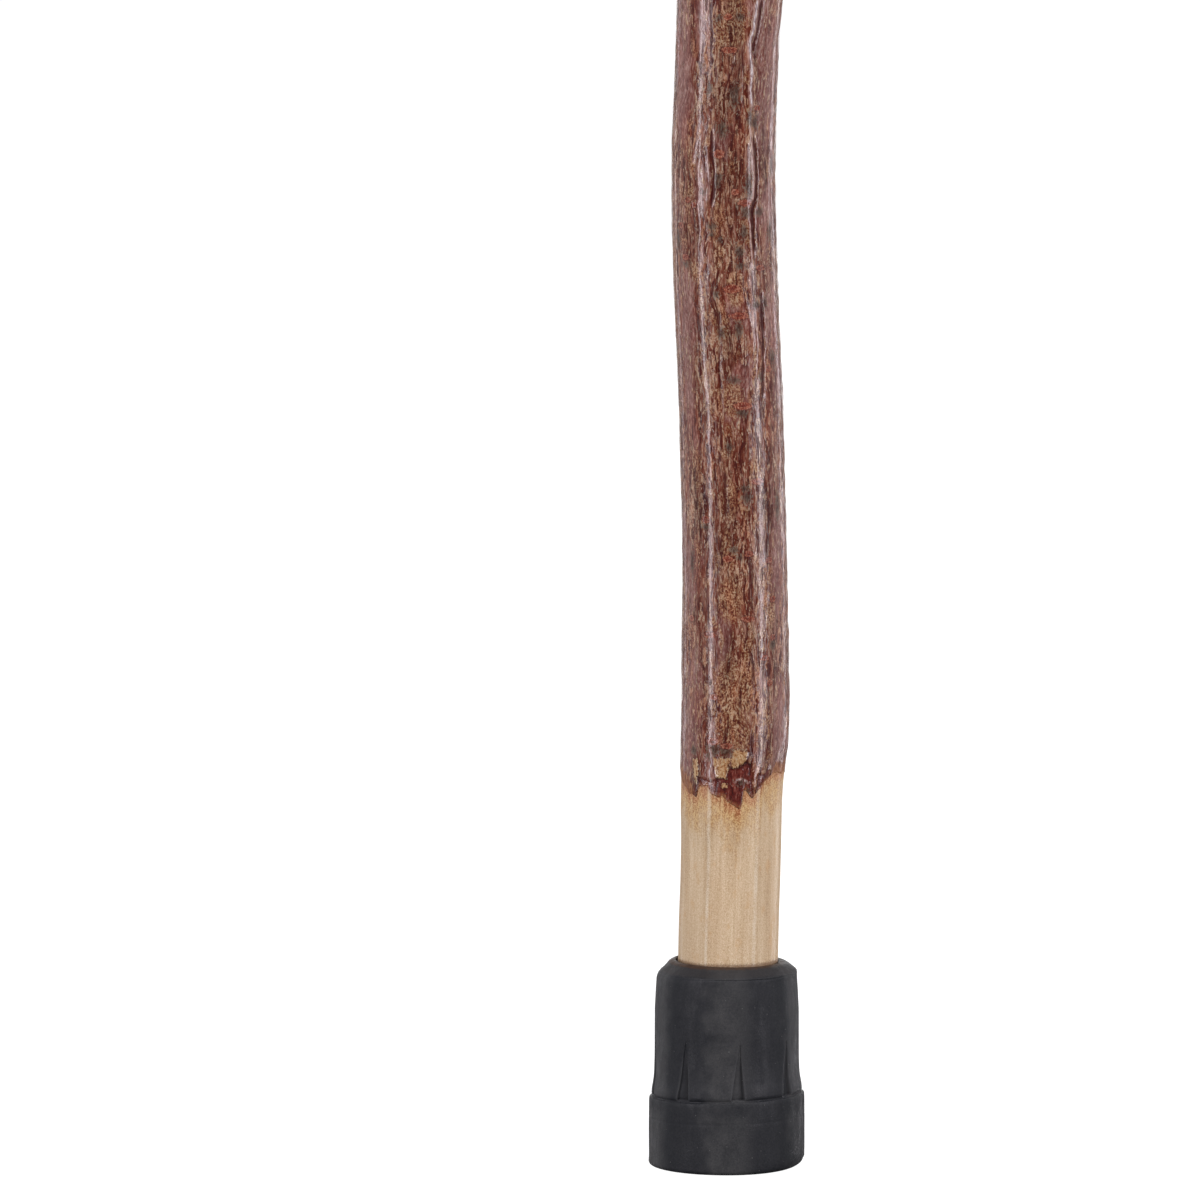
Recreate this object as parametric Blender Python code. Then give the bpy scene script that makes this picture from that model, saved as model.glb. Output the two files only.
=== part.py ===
"""Root walking cane: a bark-covered sapling stem whose root is the handle.

Metres, +Z up the shaft. The origin is the centre of the rubber ferrule's
underside, and the grip points along -X.
"""
import math

import bmesh
import bpy
import numpy as np
from mathutils import Vector

MM = 0.001
CLEAR = 0.3             # gap between touching pieces

# --- rubber ferrule (radii and heights in mm) -------------------------------
BAND_R = 19.3           # thick base band
BAND_TOP = 17.7
BODY_LOW_R = 18.1       # body just above the shoulder
BODY_LOW_Z = 22.0
BODY_MID_R = 17.85        # the body bulges a little
BODY_MID_Z = 38.0
BODY_TOP_R = 17.3
BODY_TOP_Z = 47.2
LIP_R = 14.2            # flat top of the lip, inside its rounded corner
LIP_Z = 50.6
SOCKET_R = 12.7
SOCKET_FLOOR = 13.2
FERRULE_SEGMENTS = 32
NOTCH_COUNT = 8
NOTCH_FIRST_DEG = 10.0  # first notch, measured from -Y towards +X
NOTCH_TOP = 32.7        # apex of the notch
NOTCH_HALF_WIDTH = 1.35 # at the band's top
NOTCH_DEPTH = 1.1
TREAD_GROOVES = ((10.0, 12.6),)   # inner and outer radius
TREAD_DEPTH = 1.6

# --- steel washer -----------------------------------------------------------
WASHER_R = 12.3
WASHER_HOLE_R = 3.2
WASHER_T = 1.5

# --- wooden stem ------------------------------------------------------------
TIP_R = 12.4            # shaved end, inside the ferrule and just above it
BARK_T = 1.0
BUTTRESS = 7.5          # extra half width of the root crown along X
SEGMENTS = 20
BARK_LOW = 93.4         # mean height of the bark's ragged lower edge
BARK_HIGH = 841.0       # mean height of its ragged upper edge
# heights at which the bark and the wood under it both have a ring, so that
# their facets stay parallel
SHARED_RINGS = [float(z) for z in np.linspace(102.0, 830.0, 38)]
TIP_EDGES_DEG = (-27, 33, 88, 140, 190, 232, 275)   # knife-cut facets' edges
TIP_FACET = 0.30        # how far the facets flatten the round tip

# height, sway to +X, sway to +Y, diameter over the bark
STEM = (
    (50, 0.5, 0.0, 24.9),
    (88, 1.2, 0.1, 26.2),
    (113, 2.0, 0.2, 27.0),
    (153, 2.0, 0.6, 26.4),
    (188, 1.1, 1.0, 26.1),
    (218, -0.2, 1.3, 26.1),
    (248, -0.8, 1.3, 25.8),
    (283, 0.1, 0.8, 25.5),
    (315, 0.7, 0.2, 25.2),
    (353, 0.6, -0.6, 24.2),
    (385, 1.4, -1.2, 25.0),
    (418, 1.3, -1.5, 23.6),
    (453, 1.7, -1.2, 23.8),
    (530, 0.0, 0.2, 24.0),
    (610, -3.4, 1.4, 23.8),
    (690, -6.2, 0.8, 24.2),
    (770, -7.6, -0.6, 25.0),
    (820, -8.2, -0.4, 26.6),
    (848, -8.4, 0.0, 31.0),
    (870, -8.6, 0.0, 36.5),
    (890, -8.8, 0.0, 37.5),
)

# name, height, angle from -Y towards +X, half width, half height, swelling of
# the stem around it, height of its face over the bark, doming of its face
KNOTS = (
    ("branch_knot_1", 299.0, 62.0, 3.9, 4.0, 1.5, -0.6, 0.0),
    ("branch_knot_2", 407.3, -13.0, 3.8, 2.2, 0.5, -0.3, 0.0),
    ("branch_knot_3", 541.0, 152.0, 3.8, 4.6, 1.6, -0.2, 0.5),
    ("branch_knot_4", 662.0, -78.0, 3.4, 4.2, 1.3, 0.0, 0.5),
    ("branch_knot_5", 768.0, 38.0, 4.2, 5.0, 1.8, -0.7, 0.0),
)
KNOT_DEPTH = 5.0        # how far a knot runs into the wood

# --- root handle: a loft along X, from the heel to the nose ------------------
# x, centre y, centre height, half width (Y), half height (Z)
GRIP = (
    (35.0, 1.6, 880.0, 9.2, 9.6),
    (31.5, 1.6, 881.2, 12.2, 12.8),
    (21.0, 1.2, 886.0, 14.8, 16.0),
    (7.0, 0.6, 890.5, 18.6, 20.2),
    (-7.0, 0.0, 893.0, 20.2, 22.0),
    (-21.0, -0.6, 897.5, 18.8, 19.6),
    (-37.0, -1.8, 903.0, 15.8, 16.2),
    (-55.0, -2.6, 905.5, 14.2, 14.4),
    (-73.0, -2.0, 902.0, 14.0, 14.2),
    (-89.0, -0.4, 895.5, 15.2, 15.4),
    (-102.0, 1.2, 888.5, 15.6, 15.8),
    (-111.0, 2.2, 883.5, 13.0, 13.2),
    (-116.0, 2.8, 881.0, 7.0, 7.2),
)
GRIP_SEGMENTS = 18
# trimmed rootlets: base point, direction, length, base radius, cut radius
ROOTLETS = (
    ((0.0, -11.0, 882.0), (0.35, -1.0, -0.20), 12.5, 9.0, 6.4),
    ((15.0, 8.0, 893.0), (0.70, 0.60, 0.50), 12.5, 8.4, 5.8),
    ((-31.0, 7.0, 897.0), (-0.35, 1.0, 0.10), 11.0, 7.0, 4.8),
    ((-14.0, 8.0, 868.0), (-0.30, 0.95, -0.45), 12.5, 7.6, 5.0),
)


def clear_scene():
    for obj in list(bpy.data.objects):
        bpy.data.objects.remove(obj, do_unlink=True)


def material(name, color, roughness, metallic=0.0):
    mat = bpy.data.materials.new(name)
    mat.use_nodes = True
    shader = mat.node_tree.nodes["Principled BSDF"]
    shader.inputs["Base Color"].default_value = (*color, 1.0)
    shader.inputs["Roughness"].default_value = roughness
    shader.inputs["Metallic"].default_value = metallic
    return mat


def smooth(table, z, column):
    """Read one column of a station table at height z, with no corners."""
    xs = [row[0] for row in table]
    ys = [row[column] for row in table]
    if z <= xs[0]:
        return ys[0]
    if z >= xs[-1]:
        return ys[-1]
    i = max(j for j in range(len(xs) - 1) if xs[j] <= z)
    t = (z - xs[i]) / (xs[i + 1] - xs[i])

    def slope(j):
        if j == 0 or j == len(xs) - 1:
            return 0.0
        return (ys[j + 1] - ys[j - 1]) / (xs[j + 1] - xs[j - 1])

    h = xs[i + 1] - xs[i]
    a, b = ys[i], ys[i + 1]
    ma, mb = slope(i) * h, slope(i + 1) * h
    return ((2 * t ** 3 - 3 * t ** 2 + 1) * a + (t ** 3 - 2 * t ** 2 + t) * ma
            + (-2 * t ** 3 + 3 * t ** 2) * b + (t ** 3 - t ** 2) * mb)


def ease(t):
    t = min(1.0, max(0.0, t))
    return t * t * (3 - 2 * t)


def centre(z):
    """Centreline of the stem. The last stretch, in the socket, is straight."""
    hold = ease((z - 40.0) / 45.0)
    return smooth(STEM, z, 1) * hold, smooth(STEM, z, 2) * hold


def direction(angle_deg):
    """Unit vector at an angle from -Y towards +X."""
    a = math.radians(angle_deg)
    return Vector((math.sin(a), -math.cos(a), 0.0))


def bark_radius(z, angle_deg):
    r = smooth(STEM, z, 3) / 2
    r *= 1 + 0.012 * math.cos(2 * math.radians(angle_deg) + z / 90.0)
    # buttresses where the stem spreads into the root, along X
    r += BUTTRESS * ease((z - 846.0) / 32.0) * math.sin(math.radians(angle_deg)) ** 2
    for _, kz, ka, _, _, swell, _, _ in KNOTS:
        da = (angle_deg - ka + 180) % 360 - 180
        r += swell * math.exp(-(da / 32.0) ** 2 - ((z - kz) / 13.0) ** 2)
    return r


def tip_radius(angle_deg):
    """A round tip with knife-cut flats between the facets' edges."""
    edges = sorted(e % 360 for e in TIP_EDGES_DEG)
    a = angle_deg % 360
    for i, start in enumerate(edges):
        end = edges[(i + 1) % len(edges)]
        span = (end - start) % 360
        into = (a - start) % 360
        if into <= span:
            flat = math.cos(math.radians(span / 2)) / math.cos(
                math.radians(into - span / 2))
            return TIP_R * (1 - TIP_FACET * (1 - flat))
    return TIP_R


def wood_radius(z, angle_deg):
    under_bark = bark_radius(z, angle_deg) - BARK_T - CLEAR
    if z > BARK_HIGH + 9:
        under_bark += CLEAR * ease((z - BARK_HIGH - 9) / 6)
    t = ease((z - (BARK_LOW - 14)) / 8)
    return tip_radius(angle_deg) * (1 - t) + under_bark * t


def ring_at(z, radius_of, segments=SEGMENTS):
    cx, cy = centre(z)
    points = []
    for k in range(segments):
        a = 360.0 * k / segments
        points.append(Vector((cx, cy, z)) + direction(a) * radius_of(z, a))
    return points


def build(name, verts, faces, mat, origin=(0, 0, 0), parent=None, sharp=30):
    """Mesh object with its origin at `origin`, given in world millimetres."""
    origin = Vector(origin)
    mesh = bpy.data.meshes.new(name)
    mesh.from_pydata([((Vector(v) - origin) * MM)[:] for v in verts], [], faces)
    bm = bmesh.new()
    bm.from_mesh(mesh)
    bmesh.ops.recalc_face_normals(bm, faces=bm.faces)
    bm.to_mesh(mesh)
    bm.free()
    mesh.shade_smooth()
    mesh.set_sharp_from_angle(angle=math.radians(sharp))
    mesh.materials.append(mat)
    obj = bpy.data.objects.new(name, mesh)
    bpy.context.collection.objects.link(obj)
    base = Vector((0, 0, 0))
    if parent is not None:
        obj.parent = parent
        base = parent.location
    obj.location = origin * MM - base
    return obj


def bridge(rings, closed_loop=False, split=False):
    """Faces between rings of equal length, with flat ends or as a closed loop.

    With `split`, each four-sided face is cut along the diagonal that climbs
    with the angle, so two nested surfaces stay parallel where they are warped.
    """
    n = len(rings[0])
    verts = [p for ring in rings for p in ring]
    faces = []
    count = len(rings) if closed_loop else len(rings) - 1
    for i in range(count):
        j = (i + 1) % len(rings)
        rises = (sum(p.z for p in rings[j]) > sum(p.z for p in rings[i]))
        for k in range(n):
            m = (k + 1) % n
            ik, im, jm, jk = i * n + k, i * n + m, j * n + m, j * n + k
            if not split:
                faces.append((ik, im, jm, jk))
            elif rises:
                faces += [(ik, im, jm), (ik, jm, jk)]
            else:
                faces += [(ik, im, jk), (im, jm, jk)]
    if not closed_loop:
        faces.append(tuple(range(n - 1, -1, -1)))
        faces.append(tuple((len(rings) - 1) * n + k for k in range(n)))
    return verts, faces


def turned(profile, segments):
    """Rings turned around Z from a closed (radius, height) outline."""
    rings = []
    for r, z in profile:
        rings.append([direction(360.0 * k / segments) * r + Vector((0, 0, z))
                      for k in range(segments)])
    return bridge(rings, closed_loop=True)


def turned_solid(profile, segments):
    """As `turned`, for an outline that starts and ends on the axis."""
    n = segments
    verts = [Vector((0, 0, profile[0][1]))]
    inner = profile[1:-1]
    for r, z in inner:
        verts += [direction(360.0 * k / n) * r + Vector((0, 0, z))
                  for k in range(n)]
    verts.append(Vector((0, 0, profile[-1][1])))
    last = len(verts) - 1
    faces = []
    for k in range(n):
        m = (k + 1) % n
        faces.append((0, 1 + m, 1 + k))
        for i in range(len(inner) - 1):
            a, b = 1 + i * n, 1 + (i + 1) * n
            faces.append((a + k, a + m, b + m, b + k))
        top = 1 + (len(inner) - 1) * n
        faces.append((top + k, top + m, last))
    return verts, faces


def boolean(obj, cutter, operation):
    mod = obj.modifiers.new(operation.lower(), "BOOLEAN")
    mod.operation = operation
    mod.solver = "EXACT"
    mod.object = cutter
    cutter.hide_render = True
    cutter.display_type = "WIRE"


def make_ferrule(parent, mat):
    low = [(0.0, 0.0)]
    for inner, outer in TREAD_GROOVES:
        low += [(inner, 0.0), (inner + 0.2, TREAD_DEPTH),
                (outer - 0.2, TREAD_DEPTH), (outer, 0.0)]
    outline = low + [
        (BAND_R - 1.0, 0.0), (BAND_R - 0.25, 0.3), (BAND_R, 1.1),
        (BAND_R + 0.1, BAND_TOP / 2), (BAND_R, BAND_TOP - 0.5),
        (BAND_R - 0.4, BAND_TOP),
        (BODY_LOW_R + 0.1, BAND_TOP + 1.0), (BODY_LOW_R, BODY_LOW_Z),
        (BODY_MID_R, BODY_LOW_Z + 6.0), (BODY_MID_R, BODY_MID_Z),
        (BODY_TOP_R, BODY_TOP_Z),
    ]
    # rounded corner from the wall to the flat top of the lip
    for k in range(1, 4):
        t = math.pi / 2 * k / 4
        outline.append((LIP_R + (BODY_TOP_R - LIP_R) * math.cos(t) ** 0.8,
                        BODY_TOP_Z + (LIP_Z - BODY_TOP_Z) * math.sin(t)))
    outline += [
        (LIP_R, LIP_Z), (SOCKET_R + 0.5, LIP_Z), (SOCKET_R, LIP_Z - 0.4),
        (SOCKET_R, SOCKET_FLOOR), (0.0, SOCKET_FLOOR),
    ]
    verts, faces = turned_solid(outline, FERRULE_SEGMENTS)
    ferrule = build("rubber_ferrule", verts, faces, mat, parent=parent)
    # narrow wedges, one corner up, cut into the body just above the band
    for i in range(NOTCH_COUNT):
        a = NOTCH_FIRST_DEG + i * 360.0 / NOTCH_COUNT
        out, side = direction(a), direction(a + 90)
        deep = out * (BODY_LOW_R - NOTCH_DEPTH)
        proud = out * (BODY_LOW_R + 4.0)
        up, down = Vector((0, 0, NOTCH_TOP)), Vector((0, 0, BAND_TOP + 0.6))
        tri_in = [deep + up + out * NOTCH_DEPTH * 0.8,
                  deep + down - side * NOTCH_HALF_WIDTH,
                  deep + down + side * NOTCH_HALF_WIDTH]
        tri_out = [proud + up,
                   proud + down - side * NOTCH_HALF_WIDTH,
                   proud + down + side * NOTCH_HALF_WIDTH]
        v, f = bridge([tri_in, tri_out])
        cutter = build(f"notch_cutter_{i + 1}", v, f, mat, parent=parent)
        boolean(ferrule, cutter, "DIFFERENCE")
    return ferrule


def make_washer(parent, mat):
    z0 = SOCKET_FLOOR + CLEAR
    z1 = z0 + WASHER_T
    verts, faces = turned(
        [(WASHER_HOLE_R, z0), (WASHER_R - 0.2, z0), (WASHER_R, z0 + 0.2),
         (WASHER_R, z1 - 0.2), (WASHER_R - 0.2, z1), (WASHER_HOLE_R, z1)], 32)
    return build("ferrule_washer", verts, faces, mat, parent=parent)


def oval_peg(z, angle, half_w, half_h, r_in, r_out, dome=0.0, segments=16):
    """A radial peg of oval section, from radius r_in to r_out."""
    cx, cy = centre(z)
    out, side, up = direction(angle), direction(angle + 90), Vector((0, 0, 1))
    base = Vector((cx, cy, z))
    steps = [(r_in, 0.82), ((r_in + r_out) / 2, 0.92), (r_out, 1.0)]
    if dome:
        steps += [(r_out + dome * 0.7, 0.72), (r_out + dome, 0.30)]
    rings = []
    for r, k in steps:
        rings.append([base + out * r
                      + side * (half_w * k * math.cos(2 * math.pi * i / segments))
                      + up * (half_h * k * math.sin(2 * math.pi * i / segments))
                      for i in range(segments)])
    return bridge(rings)


def make_stem(parent, mat):
    z_tip = SOCKET_FLOOR + 2 * CLEAR + WASHER_T
    zs = [z_tip, z_tip + 1.2, 50.0, 65.0, 80.0, 84.0, 88.0, BARK_LOW]
    zs += SHARED_RINGS
    zs += [BARK_HIGH, 850.0, 858.0, 866.0, 874.0, 882.0, 890.0]
    rings = []
    for z in zs:
        ring = ring_at(z, wood_radius)
        if z == zs[0]:
            c = Vector((*centre(z), z))
            ring = [c + (p - c) * 0.92 for p in ring]
        rings.append(ring)
    verts, faces = bridge(rings, split=True)
    stem = build("stem_and_root", verts, faces, mat,
                 origin=(0, 0, z_tip), parent=parent)

    # the root's grip, from heel to nose
    rings = []
    for x, yc, zc, half_w, half_h in GRIP:
        ring = []
        for k in range(GRIP_SEGMENTS):
            a = 2 * math.pi * (k + 0.5) / GRIP_SEGMENTS
            lump = 1 + 0.025 * math.sin(3 * a + x / 17.0)
            ring.append(Vector((x, yc + half_w * lump * math.cos(a),
                                zc + half_h * lump * math.sin(a))))
        rings.append(ring)
    verts, faces = bridge(rings)
    grip = build("grip_form", verts, faces, mat, parent=parent)
    boolean(stem, grip, "UNION")

    # trimmed rootlets, each a short cone with a flat cut end
    for i, (base, way, length, r0, r1) in enumerate(ROOTLETS):
        base, way = Vector(base), Vector(way).normalized()
        u = way.orthogonal().normalized()
        v = way.cross(u)
        rings = []
        for t in (0.0, 0.3, 0.6, 1.0):
            r = r1 + (r0 * 1.35 - r1) * (1 - t) ** 2
            rings.append([base + way * (length * t)
                          + u * (r * math.cos(2 * math.pi * k / 12))
                          + v * (r * math.sin(2 * math.pi * k / 12))
                          for k in range(12)])
        verts, faces = bridge(rings)
        form = build(f"rootlet_form_{i + 1}", verts, faces, mat, parent=parent)
        boolean(stem, form, "UNION")
    return stem


def ragged(angle_deg, low):
    """Offset of the bark's torn edge around the stem."""
    a = math.radians(angle_deg)
    if low:
        return (-1.2 * math.cos(a) - 1.8 * math.cos(3 * a + 0.3)
                + 1.4 * math.sin(5 * a + 1.1))
    return (3.0 * math.sin(a + 0.8) + 2.2 * math.cos(3 * a)
            + 1.4 * math.sin(4 * a + 2.0))


def make_bark(parent, mat):
    zs = [BARK_LOW] + SHARED_RINGS + [BARK_HIGH]
    outer, inner = [], []
    for i, z in enumerate(zs):
        shift = i == 0 or i == len(zs) - 1
        ring_out, ring_in = [], []
        for k in range(SEGMENTS):
            a = 360.0 * k / SEGMENTS
            zz = z + (ragged(a, i == 0) if shift else 0.0)
            cx, cy = centre(zz)
            c = Vector((cx, cy, zz))
            r = bark_radius(zz, a)
            ring_out.append(c + direction(a) * r)
            ring_in.append(c + direction(a) * (r - BARK_T))
        outer.append(ring_out)
        inner.append(ring_in)
    verts, faces = bridge(outer + inner[::-1], closed_loop=True, split=True)
    return build("bark_sleeve", verts, faces, mat,
                 origin=(0, 0, BARK_LOW), parent=parent)


def make_knots(parent, mats, stem, bark):
    for name, z, angle, half_w, half_h, _, face, dome in KNOTS:
        surface = bark_radius(z, angle)
        wood = surface - BARK_T - CLEAR
        r_in = wood - KNOT_DEPTH
        verts, faces = oval_peg(z, angle, half_w - CLEAR, half_h - CLEAR,
                                r_in + CLEAR, surface + face, dome=dome)
        knot = build(name, verts, faces, mats[name],
                     origin=(0, 0, z), parent=parent)
        for target, key in ((stem, "pocket"), (bark, "hole")):
            # straight-sided, so the peg clears it all round
            cx, cy = centre(z)
            out, side = direction(angle), direction(angle + 90)
            base = Vector((cx, cy, z))
            lo = r_in if key == "pocket" else wood - 2.0
            rings = []
            for r in (lo, surface + 3.0):
                rings.append([
                    base + out * r
                    + side * (half_w + 0.1) * math.cos(2 * math.pi * i / 16)
                    + Vector((0, 0, 1)) * (half_h + 0.1) * math.sin(2 * math.pi * i / 16)
                    for i in range(16)])
            v, f = bridge(rings)
            cutter = build(f"{name}_{key}_cutter", v, f, mats[name], parent=parent)
            boolean(target, cutter, "DIFFERENCE")
    return


def main():
    clear_scene()
    rubber = material("rubber", (0.023, 0.024, 0.026), 0.62)
    steel = material("steel", (0.56, 0.57, 0.58), 0.35, 1.0)
    wood = material("wood", (0.60, 0.39, 0.22), 0.42)
    bark = material("bark", (0.14, 0.055, 0.035), 0.28)
    knot_pale = material("knot_pale", (0.42, 0.24, 0.13), 0.35)
    knot_dark = material("knot_dark", (0.05, 0.03, 0.025), 0.35)

    tip = bpy.data.objects.new("ferrule_frame", None)
    bpy.context.collection.objects.link(tip)
    lift = bpy.data.objects.new("pull_axis", None)
    lift.location = (0.0, 0.0, (SOCKET_FLOOR + 2 * CLEAR + WASHER_T) * MM)
    bpy.context.collection.objects.link(lift)

    make_ferrule(tip, rubber)
    make_washer(tip, steel)
    stem = make_stem(lift, wood)
    sleeve = make_bark(lift, bark)
    tones = {name: knot_pale for name, *_ in KNOTS}
    tones["branch_knot_2"] = knot_dark
    make_knots(lift, tones, stem, sleeve)


main()
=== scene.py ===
import math

import bpy
import numpy as np
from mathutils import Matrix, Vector


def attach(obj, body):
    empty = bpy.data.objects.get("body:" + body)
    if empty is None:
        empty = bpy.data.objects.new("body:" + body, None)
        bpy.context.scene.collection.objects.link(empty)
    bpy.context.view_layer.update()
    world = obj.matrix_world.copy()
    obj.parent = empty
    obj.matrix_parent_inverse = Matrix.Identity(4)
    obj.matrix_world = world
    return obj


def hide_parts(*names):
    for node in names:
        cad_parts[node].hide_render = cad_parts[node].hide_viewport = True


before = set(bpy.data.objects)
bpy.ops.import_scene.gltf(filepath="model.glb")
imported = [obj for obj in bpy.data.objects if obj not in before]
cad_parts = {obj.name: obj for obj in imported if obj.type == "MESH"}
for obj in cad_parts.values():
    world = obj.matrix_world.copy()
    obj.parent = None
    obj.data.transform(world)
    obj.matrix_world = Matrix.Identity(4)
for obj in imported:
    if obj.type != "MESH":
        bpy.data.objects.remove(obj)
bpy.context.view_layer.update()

MM = 0.001
SEEN_GAIN = 0.735       # albedo for a colour as it is seen under these lights
SEEN_SHEEN = 0.010      # what the varnish adds to every seen colour
SEEN_TINT = (1.03, 1.06, 1.04)
WOOD = 0.90             # the same for the bare wood
EYE = (-0.0314, -2.75, 0.455)
AIM = (-0.0314, 0.0, 0.14065)
LENS = 336.7

# ---------------------------------------------------------------------------
# the construction's own numbers, in mm, so that the surfaces follow it
# ---------------------------------------------------------------------------
STEM = (
    (50, 0.5, 0.0, 24.9), (88, 1.2, 0.1, 26.2), (113, 2.0, 0.2, 27.0),
    (153, 2.0, 0.6, 26.4), (188, 1.1, 1.0, 26.1), (218, -0.2, 1.3, 26.1),
    (248, -0.8, 1.3, 25.8), (283, 0.1, 0.8, 25.5), (315, 0.7, 0.2, 25.2),
    (353, 0.6, -0.6, 24.2), (385, 1.4, -1.2, 25.0), (418, 1.3, -1.5, 23.6),
    (453, 1.7, -1.2, 23.8), (530, 0.0, 0.2, 24.0), (610, -3.4, 1.4, 23.8),
    (690, -6.2, 0.8, 24.2), (770, -7.6, -0.6, 25.0), (820, -8.2, -0.4, 26.6),
    (848, -8.4, 0.0, 31.0), (870, -8.6, 0.0, 36.5), (890, -8.8, 0.0, 37.5),
)
# name, height, angle from -Y towards +X, half width, half height, swelling,
# height of the face over the bark, doming of the face
KNOTS = (
    ("branch_knot_1", 299.0, 62.0, 3.9, 4.0, 1.5, -0.6, 0.0),
    ("branch_knot_2", 407.3, -13.0, 3.8, 2.2, 0.5, -0.3, 0.0),
    ("branch_knot_3", 541.0, 152.0, 3.8, 4.6, 1.6, -0.2, 0.5),
    ("branch_knot_4", 662.0, -78.0, 3.4, 4.2, 1.3, 0.0, 0.5),
    ("branch_knot_5", 768.0, 38.0, 4.2, 5.0, 1.8, -0.7, 0.0),
)
GRIP = (
    (-116.0, 2.8, 881.0, 7.0, 7.2), (-111.0, 2.2, 883.5, 13.0, 13.2),
    (-102.0, 1.2, 888.5, 15.6, 15.8), (-89.0, -0.4, 895.5, 15.2, 15.4),
    (-73.0, -2.0, 902.0, 14.0, 14.2), (-55.0, -2.6, 905.5, 14.2, 14.4),
    (-37.0, -1.8, 903.0, 15.8, 16.2), (-21.0, -0.6, 897.5, 18.8, 19.6),
    (-7.0, 0.0, 893.0, 20.2, 22.0), (7.0, 0.6, 890.5, 18.6, 20.2),
    (21.0, 1.2, 886.0, 14.8, 16.0), (31.5, 1.6, 881.2, 12.2, 12.8),
    (35.0, 1.6, 880.0, 9.2, 9.6),
)
ROOTLETS = (
    ((0.0, -11.0, 882.0), (0.35, -1.0, -0.20), 12.5, 9.0, 6.4),
    ((15.0, 8.0, 893.0), (0.70, 0.60, 0.50), 12.5, 8.4, 5.8),
    ((-31.0, 7.0, 897.0), (-0.35, 1.0, 0.10), 11.0, 7.0, 4.8),
    ((-14.0, 8.0, 868.0), (-0.30, 0.95, -0.45), 12.5, 7.6, 5.0),
)
BUTTRESS = 7.5
TIP_R = 12.4
TIP_EDGES_DEG = (-27, 33, 88, 140, 190, 232, 275)
R0 = 12.7               # radius at which the bark's pattern is laid out

# the bark's torn lower edge: angle, height
LOW_EDGE = (
    (-180, 94.0), (-160, 95.0), (-125, 92.5), (-104, 95.0), (-90, 97.4),
    (-72, 95.9), (-56, 93.8), (-44, 92.9), (-40.5, 95.6), (-29, 95.8),
    (-24.5, 94.0), (-18.5, 93.2), (-12.5, 93.5), (-8.5, 92.9), (-3, 91.7),
    (2, 91.1), (7.5, 90.4), (9.6, 90.8), (11.2, 95.0), (16.5, 94.3),
    (20.5, 93.2), (23.2, 92.7), (26.5, 94.0), (32.5, 95.5), (38, 97.1),
    (52, 98.9), (67, 98.2), (80, 98.6), (104, 97.0), (125, 95.2),
    (142, 94.0), (160, 93.0), (180, 94.0),
)


def table(rows, x, column):
    """Read one column of a station table at x, smoothly."""
    xs = np.array([row[0] for row in rows], float)
    ys = np.array([row[column] for row in rows], float)
    slope = np.zeros(len(xs))
    slope[1:-1] = (ys[2:] - ys[:-2]) / (xs[2:] - xs[:-2])
    x = np.clip(np.asarray(x, float), xs[0], xs[-1])
    i = np.clip(np.searchsorted(xs, x, side="right") - 1, 0, len(xs) - 2)
    h = xs[i + 1] - xs[i]
    t = (x - xs[i]) / h
    return ((2 * t ** 3 - 3 * t ** 2 + 1) * ys[i]
            + (t ** 3 - 2 * t ** 2 + t) * h * slope[i]
            + (-2 * t ** 3 + 3 * t ** 2) * ys[i + 1]
            + (t ** 3 - t ** 2) * h * slope[i + 1])


def ease(t):
    t = np.clip(t, 0.0, 1.0)
    return t * t * (3 - 2 * t)


def wrap(a):
    return (np.asarray(a, float) + 180.0) % 360.0 - 180.0


def centre(z):
    z = np.asarray(z, float)
    hold = ease((z - 40.0) / 45.0)
    aside = 0.20 * ease((z - 49.0) / 2.5) * ease((84.0 - z) / 16.0)
    return table(STEM, z, 1) * hold + aside, table(STEM, z, 2) * hold


def bark_radius(z, a):
    z, a = np.broadcast_arrays(np.asarray(z, float), np.asarray(a, float))
    r = table(STEM, z, 3) / 2
    r = r * (1 + 0.012 * np.cos(2 * np.radians(a) + z / 90.0))
    r = r + BUTTRESS * ease((z - 846.0) / 32.0) * np.sin(np.radians(a)) ** 2
    for _, kz, ka, _, _, swell, _, _ in KNOTS:
        r = r + swell * np.exp(-(wrap(a - ka) / 32.0) ** 2 - ((z - kz) / 13.0) ** 2)
    return r


def tip_radius(z, a):
    """The knife-cut tip: flats between the facets' edges."""
    edges = sorted(e % 360 for e in TIP_EDGES_DEG)
    a = np.asarray(a, float) % 360
    flat = np.ones(a.shape)
    for i, start in enumerate(edges):
        span = (edges[(i + 1) % len(edges)] - start) % 360
        into = (a - start) % 360
        here = into <= span
        f = math.cos(math.radians(span / 2)) / np.cos(np.radians(into - span / 2))
        flat = np.where(here, f, flat)
    grip = TIP_R - 0.10 + 0.12 * ease((np.asarray(z, float) - 49.4) / 2.0)
    return grip * (1 - 0.34 * (1 - flat))


def lean_bark(z, a):
    """The bark's radius, drawn in where the right flank was shaved."""
    right = ease(np.sin(np.radians(a)) * 1.6 - 0.3)
    return bark_radius(z, a) - 0.55 * right * ease((108.0 - z) / 20.0)


def wood_radius(z, a):
    """Surface of the wood, bare below the bark and just under it above."""
    z, a = np.broadcast_arrays(np.asarray(z, float), np.asarray(a, float))
    side = np.sin(np.radians(a))
    left, right = ease(-side * 1.5 - 0.2), ease(side * 1.5 - 0.2)
    cover = 0.62 - 0.28 * left - 0.36 * right
    under = (cover + (1.05 - cover) * ease((z - 98) / 9) - 0.2 * ease((z - 826) / 8)
             - 0.85 * ease((z - 847) / 10))
    t = ease((z - 77 - 2 * right) / (13 + 16 * right))
    return tip_radius(z, a) * (1 - t) + (lean_bark(z, a) - under) * t


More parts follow.
